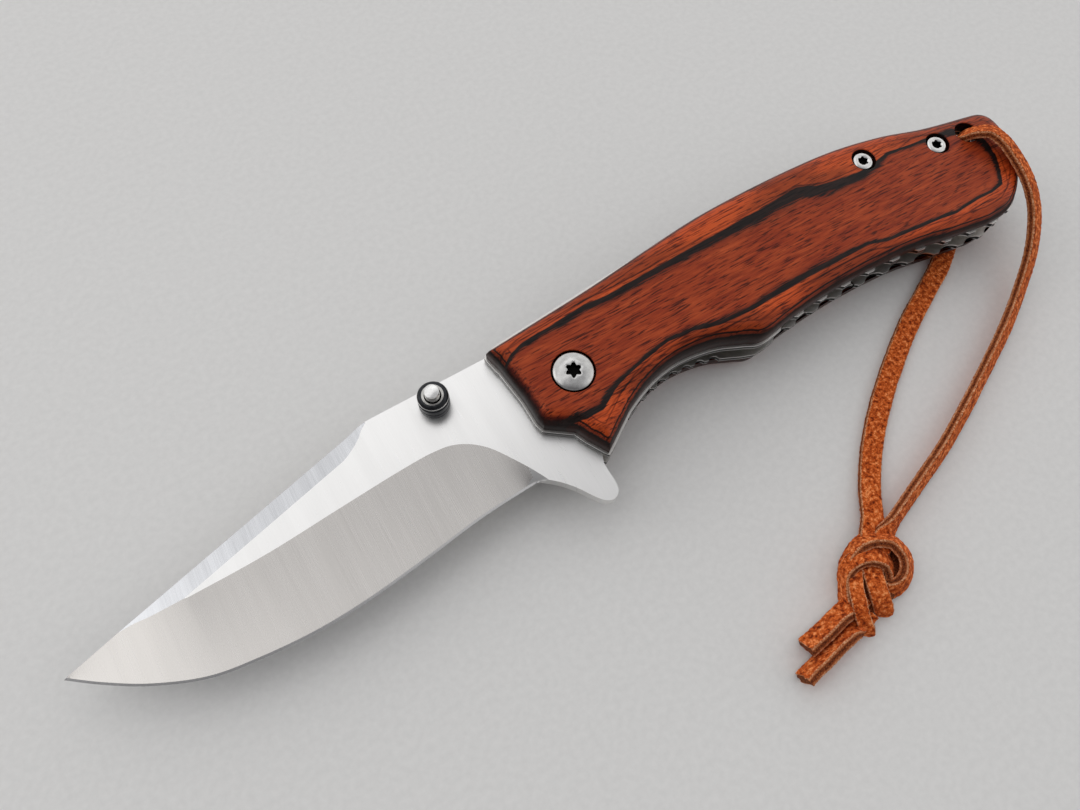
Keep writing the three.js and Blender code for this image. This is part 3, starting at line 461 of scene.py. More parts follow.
def clip_y(x):
    return mix(SPINE_Y, -TIP_DROP, (-x - CLIP_X) / (REACH - CLIP_X))


def polar(radius, degrees):
    return (radius * math.cos(math.radians(degrees)), radius * math.sin(math.radians(degrees)))


def arc(radius, start, stop, steps):
    return [polar(radius, mix(start, stop, i / steps)) for i in range(steps + 1)]


stop_half = math.degrees(math.asin(STOP_R / STOP_RING)) + 0.6
open_stop, shut_stop = STOP_ANGLE + stop_half, STOP_ANGLE - FOLD_ANGLE - stop_half
lock_turn = math.degrees(math.acos(LOCK_FACE / TANG_R))
flipper = smooth_line([
    (-2.75, -15.4), (-2.8, -17.2), (-2.8, -19.4), (-3.3, -21.0), (-4.6, -21.7), (-6.1, -21.1),
    (-7.4, -19.5), (-9.0, -17.0), (-10.8, -14.8), (-12.5, -13.2)], 60)
blade_edge = smooth_line([(-HEEL[0], 0.2 - HEEL[1]), *belly_places(), (-REACH, -TIP_DROP)], 170)
blade_outline = [
    (-CLIP_X - 0.6, clip_y(-CLIP_X - 0.6)),
    (-CLIP_X + 0.4, SPINE_Y - 0.05),
    (-CLIP_X + 2, SPINE_Y),
    (SPINE_Y / math.tan(math.radians(open_stop)), SPINE_Y),
    *arc(TANG_R, open_stop, lock_turn, 14),
    *arc(TANG_R, -lock_turn, shut_stop, 14),
    polar(SHOULDER_R, shut_stop),
    *flipper,
    *blade_edge,
]
print("blade outline points", len(blade_outline))

# %% [markdown]
# The cutters follow the blade, with heights measured from its middle plane. The grind cutter runs
# from the line where a grind starts down to the very outline of the edge, hollow in between. The
# swedge cutter takes the spine off along the clip, and runs in from nothing at its front end.

# %% Cutters for the grinds
RIDGE_FROM, RIDGE_END, PLUNGE_END, SWEDGE_W, RUN_IN = 21.2, 9.4, -27.5, 3.5, 0.8
HALF, THIN, SPINE_HALF, TIP_HALF, EDGE_HALF, HONED = BLADE_T / 2, 0.17, 0.55, 0.3, 0.03, 0.4
HOLLOW, PAST_EDGE, CUTTER_TOP = 0.5, 1.6, HALF + 2


def ridge_share(x):
    return (-x - REACH + RIDGE_FROM) / (RIDGE_FROM - RIDGE_END)


def crest(x):
    share = ridge_share(x)
    if share < 1:
        return mix(HALF, SPINE_HALF, max(0, share))
    return mix(TIP_HALF, SPINE_HALF, max(0, REACH + x) / RIDGE_END)


grind_line = [(2.3 - HEEL[0], -HEEL[1] - 2.1)] + [
    (-mix(HEEL[0] - 2, REACH, t), y) for t, y in (
        (0.008, 0.2 - HEEL[1]), (0.035, -8.2), (0.08, -2.7), (0.13, 0.3), (0.185, 1.2), (0.27, 1.1),
        (0.41, 0.4), (0.56, -0.4), (0.69, -0.5), (0.81, -0.2))
] + [(x, clip_y(x) + 0.4) for x in (1.5 + RIDGE_END - REACH, -REACH - 1)]
foot_line = [(0.4 - HEEL[0], -HEEL[1] - 2.1), *blade_edge, (-REACH - 0.9, -TIP_DROP - 0.5)]


def foot_at(x):
    """The place on the edge at a given reach, where the grind under that reach runs out."""
    for a, b in zip(foot_line, foot_line[1:]):
        if b[0] <= x:
            break
    share = (x - a[0]) / (b[0] - a[0])
    return Vector((x, mix(a[1], b[1], min(max(share, 0), 1))))


def grind_cutter(steps=200, rows=9):
    """Rings from the grind line down to the very outline of the edge, hollow in between."""
    tops = smooth_line(grind_line, steps)
    plunge = next(i for i, top in enumerate(tops) if top[0] < PLUNGE_END)
    rings = []
    for i, top in enumerate(tops):
        reach = top[0] if i > plunge else mix(foot_line[0][0], PLUNGE_END, i / plunge)
        top, foot = Vector(top), foot_at(reach)
        across = foot_at(reach - 0.5) - foot_at(reach + 0.5)
        outwards = Vector((-across.y, across.x)).normalized()
        rise = crest(top.x) - THIN
        low = foot - outwards * HONED
        ring = []
        for j in range(-1, rows + 1):
            s = j / rows
            spot = top.lerp(low, s)
            hollow = HOLLOW * rise * s * (1 - s) if s > 0 else HOLLOW * rise * s
            ring.append((spot.x, spot.y, THIN + rise * (1 - s) - hollow))
        beyond, out = foot + outwards * EDGE_HALF, foot + outwards * PAST_EDGE
        ring += [(*beyond, EDGE_HALF), (*out, EDGE_HALF), (*out, CUTTER_TOP),
                 (*ring[0][:2], CUTTER_TOP)]
        rings.append(ring)
    return rings


def swedge_cutter(steps=60):
    rings = []
    for i in range(steps + 1):
        x = -mix(CLIP_X - RUN_IN, REACH - RIDGE_END / 2, i / steps)
        entry = min(1, 0.15 + math.sqrt(max(0, -x - CLIP_X) / 6))
        width = max(0.3, SWEDGE_W * min(entry, 1 - ridge_share(x))) * 1.12
        spine = mix(HALF, SPINE_HALF, min(1, 0.15 + (-x - CLIP_X + RUN_IN) / 5))
        top = crest(max(x, RIDGE_END - REACH))
        low_x, low_y = x - 0.25 * width, clip_y(x) - width
        rings.append([
            (low_x, low_y, max(spine, top) + 0.12 * (top - spine) + 0.004),
            (x, clip_y(x), spine), (x, clip_y(x) + 1, spine), (x, clip_y(x) + 1, CUTTER_TOP),
            (low_x, low_y, CUTTER_TOP)])
    return rings


print("rings of the cutters", len(grind_cutter()), len(swedge_cutter()))

# %% [markdown]
# A boolean needs closed cutters. They are made around the middle plane of the blade, once for the
# upper face and once upside down for the lower face, then used and thrown away.

# %% Cutting
def shifted(rings, flip):
    return [[(x, y, Z_MID + (-z if flip else z)) for x, y, z in ring] for ring in rings]


def subtract(obj, cutters):
    for cutter in cutters:
        change = obj.modifiers.new("cut", "BOOLEAN")
        change.operation, change.solver, change.object = "DIFFERENCE", "EXACT", cutter
    view = bpy.context.evaluated_depsgraph_get()
    mesh = bpy.data.meshes.new_from_object(obj.evaluated_get(view))
    obj.modifiers.clear()
    obj.data = mesh
    for cutter in cutters:
        bpy.data.objects.remove(cutter)
    return obj


def bar(x, y, radius, low, high):
    return mesh_object("bar", *skin([[(u, v, z) for u, v in circle(x, y, radius, 64)]
                                     for z in (low, high)]))


blade_slab = [[(x, y, Z_MID + z) for x, y in blade_outline] for z in (-HALF, HALF)]
blade = mesh_object("blade_ground", *skin(blade_slab))
cutters = [mesh_object("cutter", *skin(shifted(rings, flip)))
           for rings in (grind_cutter(), swedge_cutter()) for flip in (False, True)]
cutters.append(bar(0, 0, PIVOT_BORE, 0, Z_TOP + 0.6))
subtract(blade, cutters)
finish_mesh(blade, 3.2)
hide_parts("blade")
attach(blade, "blade")
print("blade faces", len(blade.data.polygons))

# %% [markdown]
# The wood scales have one outline, a rounded bevel all round and a flat face that thins towards the
# butt. The face is a height over the plan: every point knows how far it is from the outline, and
# the bevel follows from that distance, so corners mitre and hollows round off as under a belt
# grinder. The points are then joined with a constrained Delaunay triangulation.

# %% Handle outline
NOSE, BUTT, SPINE_FRONT, SPINE_CREST, SPINE_TAIL = 9.4, 105.8, 12.4, 16.4, 9.0
GUARD, GROOVE_X, GROOVE, BUMP_X, BUMP, WAIST, TAIL, BUTT_ROUND = (
    14.6, 18, 6.5, 34.6, 10.9, 9.2, 12.8, 17.8)


def spine_line():
    rise = ((0, 0), (0.113, 0.25), (0.236, 0.62), (0.35, 0.92), (0.463, 1))
    fall = ((0.575, 0.02), (0.671, 0.11), (0.77, 0.36), (0.86, 0.73))
    return [(-1.16 * NOSE, 0.93 * SPINE_FRONT),
            *((t * BUTT, mix(SPINE_FRONT, SPINE_CREST, share)) for t, share in rise),
            *((t * BUTT, mix(SPINE_CREST, SPINE_TAIL, share)) for t, share in fall),
            (BUTT - 0.27 * BUTT_ROUND, SPINE_TAIL)]


def butt_line():
    shares = ((0.27, 0), (0.09, 0.041), (0, 0.156), (0.017, 0.367), (0.135, 0.62),
              (0.371, 0.835), (0.674, 0.982), (1, 1))
    return [(BUTT - t * BUTT_ROUND, mix(SPINE_TAIL, -TAIL, fall)) for t, fall in shares]


def belly_line():
    shares = ((0, TAIL), (0.16, mix(WAIST, TAIL, 0.62)), (0.32, mix(WAIST, TAIL, 0.2)),
              (0.5, WAIST), (0.68, WAIST), (0.86, mix(WAIST, BUMP, 0.4)), (1, BUMP))
    return [(mix(BUTT - BUTT_ROUND, BUMP_X, t), -drop) for t, drop in shares]


def groove_line():
    into = [(mix(BUMP_X, GROOVE_X, t), -mix(BUMP, GROOVE, s))
            for t, s in ((0, 0), (0.22, 0.3), (0.48, 0.72), (0.75, 0.94), (1, 1))]
    climb = [(mix(GROOVE_X, 0, t), -mix(GROOVE, GUARD, s))
             for t, s in ((0.22, 0.06), (0.44, 0.2), (0.67, 0.42))]
    return into + climb


def nose_line():
    return [(-0.149 * NOSE, -GUARD), (-0.38 * NOSE, -0.74 * GUARD), (-0.479 * NOSE, -0.589 * GUARD),
            (-0.957 * NOSE, -0.363 * GUARD), (-NOSE, -0.26 * GUARD), (-NOSE, 0.089 * SPINE_FRONT),
            (-1.085 * NOSE, 0.677 * SPINE_FRONT), (-1.16 * NOSE, 0.93 * SPINE_FRONT)]


def handle_outline():
    """Anticlockwise, with a point about every half millimetre."""
    spine = smooth_line(spine_line(), 210)
    butt = smooth_line(butt_line(), 70)[1:]
    belly = smooth_line(belly_line() + groove_line()[1:], 164)[1:]
    nose = []
    for a, b in zip([belly[-1]] + nose_line(), nose_line()):
        steps = max(1, round(math.dist(a, b) / 0.5))
        nose += [[mix(a[0], b[0], i / steps), mix(a[1], b[1], i / steps)]
                 for i in range(1, steps + 1)]
    return [tuple(p) for p in reversed(spine + butt + belly + nose[:-1])]


outline = handle_outline()
print("handle outline points", len(outline))

# %% [markdown]
# The wood is a laminate of dyed veneers, sanded through in curves. Where the surface cuts through
# them at a slant, as it does near the edges, they show as orange bands between black lines round a
# red-brown field. The field is a closed line of places, each with the width of the black line
# there. The scale is counterbored for its screw heads, so a hole is a place, a bore, a wider bore
# and the height of the floor between them.

# %% Field and holes
SCREWS = (("1", 73.9, 10.1, 2.69), ("2", 90.2, 6.1, 3.36))
SCREW_BORE, HEAD_BORE, LACE_BORE, PIVOT_HEAD_BORE = 1.15, 2.45, 2.4, 3.95
FRONT_SEAT, BACK_SEAT = 3.2, 2.5
FIELD = [(-9.5, 7, 0.4), (-7.7, 7.9, 0.6), (-5, 8.7, 0.8), (-0.1, 9, 0.8), (4.1, 9.1, 0.9),
         (8.2, 9.5, 1.0), (12.9, 8.9, 1.1), (22.2, 9.2, 1.2), (33.6, 9.5, 1.4), (47.6, 9.6, 2.0),
         (57.7, 10.3, 2.3), (61.2, 8.7, 2.3), (65.5, 8, 1.9), (70.6, 7.5, 1.5), (74.5, 7.7, 0.9),
         (79.2, 8.9, 0.6), (84.1, 8.3, 0.55), (87.6, 7.9, 0.6), (91, 7.5, 0.9), (95, 7, 1.1),
         (98.5, 4, 1.4), (99, 1, 1.3), (98.2, -2, 1.1), (96.8, -5, 0.8), (95, -7.5, 0.6),
         (91.9, -8.1, 0.55), (88.1, -7.9, 0.5), (82, -8.3, 0.5), (77, -7.6, 0.55), (71.9, -7, 0.6),
         (65.6, -6.6, 0.55), (61.8, -5.5, 0.6), (56, -5.4, 0.9), (50.5, -5.2, 1.2),
         (40, -5.4, 1.1), (34, -5.7, 0.9), (27.7, -5.1, 0.8), (22.5, -3.8, 0.7), (17.4, -3.4, 0.6),
         (11.5, -4.3, 0.6), (6.8, -5.3, 0.7), (3.1, -6.7, 0.9), (0.6, -8.1, 1.1), (-2.4, -8, 1.2),
         (-5, -7.2, 1.0), (-8, -7, 0.5), (-13, -5, 0.4), (-13, 5, 0.4)]
HOLES = (*((x, y, SCREW_BORE, HEAD_BORE, SCALE_T - sunk) for _, x, y, sunk in SCREWS),
         (*HOLE, LACE_BORE, LACE_BORE, 0))
print("places round the field", len(FIELD))

# %% [markdown]
# The veneers and the bevel both follow distances, so the first helpers measure how far points are
# from a closed line and which of them lie in it. NumPy does this for all points at once.

# %% Distance to a line
def from_line(points, line):
    """Distance of each point to a closed line, and the line's third number at the nearest place."""
    start = np.array([(*p, 0)[:3] for p in line], float)
    spots = np.array([p[:2] for p in points])
    far, third = np.full(len(spots), 1e9), np.zeros(len(spots))
    for a, d in zip(start, np.roll(start, -1, axis=0) - start):
        t = np.clip(((spots - a[:2]) @ d[:2]) / (d[:2] @ d[:2]), 0, 1)
        gap = np.hypot(*(spots - a[:2] - t[:, None] * d[:2]).T)
        near = gap < far
        far[near], third[near] = gap[near], (a[2] + t * d[2])[near]
    return far, third


def inside(points, line):
    """Which of the points lie in a closed line."""
    x, y = np.array([p[:2] for p in points]).T
    crossings = np.zeros(len(x), int)
    for (ax, ay, *_), (bx, by, *_) in zip(line, line[1:] + line[:1]):
        if ay != by:
            crossings += ((ay > y) != (by > y)) & (x < ax + (y - ay) / (by - ay) * (bx - ax))
    return crossings % 2 == 1


print("distance from the pivot axis to the outline", from_line([(0, 0)], outline)[0].round(2))

# %% [markdown]
# The height of the wood over the plan: it thins smoothly towards the butt, and near the outline it
# falls off in a quarter of an ellipse. Points lie in rows under this bevel and in a grid within.

# %% Height of the scale
BEVEL_W, BEVEL_H, TAPER_START, TAPER_DROP, TAPER_BLEND = 2.8, 3.4, 45, 2.5, 4


def thickness(x):
    slope = TAPER_DROP / (BUTT - TAPER_START)
    return SCALE_T - slope * TAPER_BLEND * math.log1p(math.exp((x - TAPER_START) / TAPER_BLEND))


def scale_height(x, distance):
    full = thickness(x)
    if distance >= BEVEL_W:
        return full
    return full - BEVEL_H * full / SCALE_T * (1 - math.sqrt(1 - (1 - distance / BEVEL_W) ** 2))


def inset_points():
    """Rows of points under the bevel, without those that cross a corner, and a grid within."""
    ring = [Vector(p) for p in outline]
    rows = []
    for turn in (8, 16, 25, 34, 44, 54, 64, 75, 90):
        inset = BEVEL_W * (1 - math.cos(math.radians(turn)))
        row = []
        for i, p in enumerate(ring):
            along = ring[(i + 1) % len(ring)] - ring[i - 1]
            row.append(p + Vector((-along.y, along.x)).normalized() * inset)
        kept = from_line(row, outline)[0] > inset - 0.02
        rows += [(p.x, p.y) for p, ok in zip(row, kept) if ok]
    grid = [(-9 + 0.8 * i, -14 + 0.8 * j + 0.4 * (i % 2)) for i in range(144) for j in range(40)]
    far, within = from_line(grid, outline)[0], inside(grid, outline)
    return rows + [p for p, d, ok in zip(grid, far, within) if ok and d > BEVEL_W + 0.4]


print("thickness at the pivot and the butt", [round(thickness(x), 2) for x in (0, BUTT)])

# %% [markdown]
# Each point of the mesh keeps three numbers for the material, in millimetres: how far it is from
# the outline, how far outside the black line round the field, and how wide that line is there.

# %% Scale mesh
FILLET = 0.14


def scale_shell(pivot_floor):
    """Points, faces and the three numbers of a scale with its liner side at z = 0."""
    holes = [(0, 0, PIVOT_BORE, PIVOT_HEAD_BORE, pivot_floor), *HOLES]
    plan, loops = list(outline), []
    edges = [(i, (i + 1) % len(outline)) for i in range(len(outline))]
    for x, y, _, wide, _ in holes:
        start = len(plan)
        plan += circle(x, y, wide + FILLET, 56)
        loops.append(list(range(start, len(plan))))
        edges += list(zip(loops[-1], loops[-1][1:] + loops[-1][:1]))
    free = [p for p in inset_points()
            if all(math.dist(p, h[:2]) > h[3] + FILLET + 0.3 for h in holes)]
    flat = [Vector(p) for p in plan + free]
    spots, _, triangles, *_ = delaunay_2d_cdt(flat, edges, [], 1, 1e-5)
    far = from_line(spots, outline)[0]
    far[:len(outline)] = 0
    points = [(p.x, p.y, scale_height(p.x, d)) for p, d in zip(spots, far)]
    rims = [float(d) for d in far]
    sign = np.where(inside(spots, FIELD), -1, 1)
    from_field, width = from_line(spots, FIELD)
    veins, inks = [[float(v) for v in row] for row in (sign * from_field, width)]
    faces = []
    for a, b, c in triangles:
        middle = [(spots[a][k] + spots[b][k] + spots[c][k]) / 3 for k in (0, 1)]
        if all(math.dist(middle, h[:2]) > h[3] + FILLET for h in holes):
            faces.append((a, b, c))

    def strip(upper, ring, heights, rim):
        start = len(points)
        points.extend((x, y, z) for (x, y), z in zip(ring, heights))
        rims.extend([rim] * len(ring))
        veins.extend([veins[i] for i in upper])
        inks.extend([inks[i] for i in upper])
        lower = list(range(start, len(points)))
        count = len(ring)
        faces.extend((upper[i], upper[(i + 1) % count], lower[(i + 1) % count], lower[i])
                     for i in range(count))
        return lower

    strip(list(range(len(outline))), outline, [0] * len(outline), 0)
    # A hole's wall counts as 0.4 mm from the outline and its floor as 0, so painted edge shade
    # darkens them.
    for (x, y, bore, wide, floor), loop in zip(holes, loops):
        tops = [points[i][2] for i in loop]
        wall = strip(loop, circle(x, y, wide, 56), [z - FILLET for z in tops], 0.4)
        if floor:
            wall = strip(wall, circle(x, y, wide, 56), [floor] * len(loop), 0)
            wall = strip(wall, circle(x, y, bore, 56), [floor] * len(loop), 0)
        strip(wall, circle(x, y, bore, 56), [0] * len(loop), 0)
    return points, faces, {"rim": rims, "vein": veins, "ink": inks}


def scale_piece(name, node, flip):
    points, faces, layers = scale_shell(BACK_SEAT if flip else FRONT_SEAT)
    points = [(x, y, SCALE_T - h if flip else Z_SCALE + h) for x, y, h in points]
    obj = mesh_object(name, points, faces, sharp=38, **layers)
    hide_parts(node)
    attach(obj, "handle")
    return obj


front_scale = scale_piece("wood_front", "scale_front", False)
back_scale = scale_piece("wood_back", "scale_back", True)
print("scale faces", len(front_scale.data.polygons))

# %% [markdown]
# Each liner is a steel plate a little proud of the wood, and more so along the front of the spine,
# where it shows as a thin bright line. Its belly edge has round file cuts at an even pitch. The
# plate is an outline given a thickness, and the holes, the file cuts and the slot of the lock come
# off it with booleans, as a mill and a file would take them.

# %% Liner plates
PROUD, SPINE_RIM, FILE_FROM, FILE_PITCH, FILE_LAND, FILE_DEPTH = 0.4, 0.8, 38.6, 5.75, 1.3, 0.9
STOP_HOLE_R, LOCK_SLOT = 1.7, [(5.6, -30), (60.3, -30), (60.3, 0.1), (5.6, 0.1)]


def liner_outline():
    ring = [Vector(p) for p in outline]
    made = []
    for i, p in enumerate(ring):
        along = ring[(i + 1) % len(ring)] - ring[i - 1]
        outwards = Vector((along.y, -along.x)).normalized()
        fade = min(max((38 - p.x) / 28, 0), 1) * min(max((p.x + 11) / 3, 0), 1)
        rim = SPINE_RIM * fade * fade * (3 - 2 * fade) if p.y > 8 else 0
        made.append(tuple(p + outwards * (PROUD + rim)))
    return made


def plate_cutters(line, low, high):
    holes = [(0, 0, PIVOT_BORE), (*polar(STOP_RING, STOP_ANGLE), STOP_HOLE_R),
             (*HOLE, LACE_BORE), *((x, y, SCREW_BORE) for _, x, y, _ in SCREWS)]
    half = (FILE_PITCH - FILE_LAND) / 2
    radius = (half ** 2 + FILE_DEPTH ** 2) / (2 * FILE_DEPTH)
    x = FILE_FROM + FILE_PITCH / 2
    while x < BUTT - 10:
        belly = min((p for p in line if p[1] < 0), key=lambda p: abs(p[0] - x))[1]
        holes.append((x, belly + FILE_DEPTH - radius, radius))
        x += FILE_PITCH
    return [bar(*hole, low - 1, high + 1) for hole in holes]


def liner(name, node, low, lock_slot):
    line = liner_outline()
    plate = mesh_object(name, *skin([[(x, y, z) for x, y in line] for z in (low, low + LINER_T)]))
    tools = plate_cutters(line, low, low + LINER_T)
    if lock_slot:
        tools.append(mesh_object("slot", *skin([[(x, y, z) for x, y in LOCK_SLOT]
                                                for z in (low - 1, low + LINER_T + 1)])))
    subtract(plate, tools)
    finish_mesh(plate, 30)
    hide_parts(node)
    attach(plate, "handle")
    return plate


front_liner = liner("liner_plate_front", "liner_front", Z_FRONT_LINER, False)
back_liner = liner("liner_plate_back", "liner_back", Z_LINER, True)
print("liner faces", len(front_liner.data.polygons), len(back_liner.data.polygons))

# %% [markdown]
# The round pieces are turned or stamped: each is a set of rings round an axis, with a radius that
# may change round the ring for a driver socket. One function makes them all. A small radius on
# every rim catches a line of light, as it does on the real ones.

# %% Turned pieces
def turned(name, node, spot, rings, flip=False, body="handle", slot="screw_steel", ends=True):
    """rings are (radius or function of the turn, height), from the lower middle to the upper."""
    made = []
    for radius, height in rings:
        row = []
        for k in range(96):
            a = 2 * math.pi * k / 96
            r = radius(a) if callable(radius) else radius
            z = -height if flip else height
            row.append((spot[0] + r * math.cos(a), spot[1] + r * math.sin(a), spot[2] + z))
        made.append(row)
    obj = mesh_object(name, *skin(made, ends), sharp=32)
    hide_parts(node)
    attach(obj, body)
    return obj


def six_lobes(radius, lobe=0.19):
    return lambda a: radius * (1 + lobe * math.cos(6 * a))


def pivot_rings():
    """A shouldered screw with a low round head, 7.4 mm wide, and a six-lobe socket."""
    rings = [(0.01, -4.4), (1.5, -4.4), (1.5, 0), (3.55, 0), (3.7, 0.12), (3.7, 1.08), (3.66, 1.2)]
    rings += [(r, 1.2 + math.sqrt(1 - (r / 3.7) ** 2))
              for r in (3.6, 3.5, 3.35, 3.1, 2.75, 2.35, 1.95, 1.6)]
    rings += [(six_lobes(1.3), 2.06), (six_lobes(1.22), 1.97), (six_lobes(1.2), 0.9),
              (0.6, 0.65), (0.01, 0.6)]
    return rings


def body_screw_rings():
    """A small screw with a crowned rim and a deep socket."""
    rings = [(0.01, -3.6), (1.0, -3.6), (1.0, 0), (1.95, 0), (2.05, 0.1), (2.05, 0.78),
             (2.0, 0.95), (1.85, 1.1), (1.6, 1.18), (1.3, 1.2), (1.05, 1.14)]
    rings += [(six_lobes(0.93, 0.11), 1.02), (six_lobes(0.87, 0.13), 0.9),
              (six_lobes(0.85, 0.14), 0.2), (0.4, 0.1), (0.01, 0.08)]
    return rings


def pair(node, name, x, y, front, back, rings, **settings):
    """The same turned piece on the front and, upside down, on the back: piece, height, flipped."""
    made = []
    for side, height, flip in (("front", front, False), ("back", back, True)):
        piece = turned(name % side, node % side, (x, y, height), rings, flip, **settings)
        made.append((piece, height, flip))
    return made


heads = {"pivot": pair("pivot_screw_%s", "pivot_head_%s", 0, 0, 13.8, 2.3, pivot_rings())}
for key, x, y, sunk in SCREWS:
    heads[key] = pair("screw_%s_" + key, "screw_head_%s_" + key, x, y, Z_TOP - sunk, sunk,
                      body_screw_rings())
print("heads", [piece.name for pieces in heads.values() for piece, *_ in pieces])

# %% [markdown]
# The thumb stud is a polished post through the blade with a black collar on each face. A collar is
# a ring, so its profile ends where it starts. Two grooves and a waist near its top give grip.

# %% Thumb stud
STUD = (-22.9, 9.0)
POST = [(0.01, -7.5), (1.1, -7.5), (1.27, -7.44), (1.36, -7.3), (1.36, 7.3), (1.27, 7.44),
        (1.1, 7.5), (0.01, 7.5)]
COLLAR = [(1.55, 0), (2.7, 0), (2.8, 0.1), (2.8, 1.2), (2.72, 1.28), (2.72, 1.5), (2.8, 1.58),
          (2.8, 2.8), (2.62, 2.95), (2.55, 3.1), (2.6, 3.3), (2.78, 3.45), (2.78, 3.7),
          (2.7, 3.9), (2.35, 4.22), (2.2, 4.28), (1.95, 4.3), (1.75, 4.12), (1.55, 4.0), (1.55, 0)]

stud_post = turned("stud_post", "stud_pin", (*STUD, Z_MID), POST, body="blade")
collars = pair("stud_collar_%s", "collar_%s", *STUD, Z_MID + HALF, Z_MID - HALF, COLLAR,
               body="blade", slot="gunmetal", ends=False)
print("stud", stud_post.name, [piece.name for piece, *_ in collars])

# %% [markdown]
# Every finish is built from nodes. One function adds a node and gives back its output: a setting
# whose name starts with a capital is a socket, I0 and I1 are sockets that share a name, stops are
# the colours of a ramp, and the rest are properties. A value may be a number, a colour or another
# node's output. Colours are sRGB hex values, and one function turns them to linear.

# %% Material helpers
MULTIPLY = {"data_type": "RGBA", "blend_type": "MULTIPLY"}


def colour(hex_code):
    parts = [int(hex_code[i:i + 2], 16) / 255 for i in (1, 3, 5)]
    return (*(c / 12.92 if c <= 0.04045 else ((c + 0.055) / 1.055) ** 2.4 for c in parts), 1)


def fill_ramp(elements, stops):
    while len(elements) < len(stops):
        elements.new(0.5)
    for element, (spot, hex_code) in zip(elements, stops):
        element.position = spot
        element.color = colour(hex_code)


def add(tree, kind, out=None, **settings):
    made = tree.nodes.new("ShaderNode" + kind)
    for name, value in settings.items():
        if name == "stops":
            fill_ramp(made.color_ramp.elements, value)
            continue
        if name[0].islower():
            setattr(made, name, value)
            continue
        if name[0] == "I" and name[1:].isdigit():
            socket = made.inputs[int(name[1:])]
        else:
            wanted = name.replace("_", " ")
            socket = next(s for s in made.inputs if s.enabled and s.name == wanted)
        if isinstance(value, bpy.types.NodeSocket):
            tree.links.new(value, socket)
        else:
            socket.default_value = value
    return made.outputs[out] if out else next((s for s in made.outputs if s.enabled), None)


def pattern(tree, *sizes_mm, **settings):
    """A noise at its real spacing, from a size for each of x, y and z or one size for all."""
    spacing = [1000 / size for size in (sizes_mm if len(sizes_mm) == 3 else sizes_mm * 3)]
    spot = add(tree, "VectorMath", operation="MULTIPLY", I0=add(tree, "TexCoord", out="Object"),
               I1=spacing)
    return add(tree, "TexNoise", Vector=spot, Scale=1.0, **settings)


def new_material(name):
    material = bpy.data.materials.new(name)
    material.use_nodes = True
    material.node_tree.nodes.clear()
    return material, material.node_tree


def paint(obj, *materials):
    obj.data.materials.clear()
    for material in materials:
        obj.data.materials.append(material)


print("middle grey in linear light", [round(c, 3) for c in colour("#808080")])

# %% [markdown]
# Blade steel is a hardened stainless steel, belt finished. The flats have fine lines that run
# across the blade and read as a bright satin. The hollow grinds are a little coarser and greyer,
# and the honed edge is bright. The lines are drawn 0.2 mm apart, coarser than the real 0.05 mm, so
# that they show.

# %% Blade steel
def shade(hex_code, share):
    parts = [round(int(hex_code[i:i + 2], 16) * share) for i in (1, 3, 5)]
    return "#" + "".join(f"{part:02X}" for part in parts)


def satin_steel(name, hex_code, rough, line_mm, long_mm, contrast):
    material, tree = new_material(name)
    lines = pattern(tree, line_mm, long_mm, long_mm, Detail=3.0, Roughness=0.6)
    broad = pattern(tree, 2.6, 26, 26, Detail=2.0, Roughness=0.5)
    uneven = add(tree, "MapRange", Value=lines, From_Min=0.3, From_Max=0.7,
                 To_Min=rough - 0.03, To_Max=rough + 0.03)
    drawn = add(tree, "ValToRGB", Fac=lines,
                stops=[(0.3, shade("#FFFFFF", 1 - contrast)), (0.7, "#FFFFFF")])
    steel = add(tree, "ValToRGB", Fac=broad,
                stops=[(0.3, shade(hex_code, 1 - contrast)), (0.7, hex_code)])
    tone = add(tree, "Mix", **MULTIPLY, Factor=1.0, A=drawn, B=steel)
    bump = add(tree, "Bump", Strength=0.3, Distance=0.000002, Height=lines)
    shader = add(tree, "BsdfPrincipled", Base_Color=tone, Metallic=1.0, Roughness=uneven,
                 Normal=bump)
    add(tree, "OutputMaterial", Surface=shader)
    return material


paint(blade, satin_steel("stainless_steel_satin_flat", "#EFEEEC", 0.3, 0.2, 9, 0.02),
      satin_steel("stainless_steel_belt_ground", "#E2DED9", 0.26, 0.2, 14, 0.018),
      satin_steel("stainless_steel_honed_edge", "#F4F3F1", 0.2, 0.15, 2, 0.03),
      satin_steel("stainless_steel_swedge_ground", "#DCDDE0", 0.27, 0.3, 14, 0.06))
print("blade finishes", [slot.name for slot in blade.material_slots])

# %% [markdown]
# Each face of the blade gets the finish of its grind, which shows in how it leans. The grinds lean
# towards the edge or, along the clip, towards the spine. The honed faces are the steep ones right
# at the edge. What lies level keeps the first finish, that of the flats, and so does what stands
# upright.

# %% Finish of each grind
UPRIGHT, HONED_LEAN, LEVEL = 0.9, 0.977, 0.99995
GROUND_STEEL, HONED_STEEL, SWEDGE_STEEL = 1, 2, 3

centres = [(face.center.x * 1000 - PIVOT[0], face.center.y * 1000 - PIVOT[1])
           for face in blade.data.polygons]
from_edge = from_line(centres, foot_line)[0]
for face, far in zip(blade.data.polygons, from_edge):
    lean, to_spine = abs(face.normal.z), face.normal.y * face.normal.z
    if not UPRIGHT < lean < LEVEL:
        continue
    if to_spine < 0:
        honed = far < HONED and lean < HONED_LEAN
        face.material_index = HONED_STEEL if honed else GROUND_STEEL
    elif face.center.x < place(1 - CLIP_X, 0, 0).x:
        face.material_index = SWEDGE_STEEL
print("honed faces", sum(face.material_index == HONED_STEEL for face in blade.data.polygons))
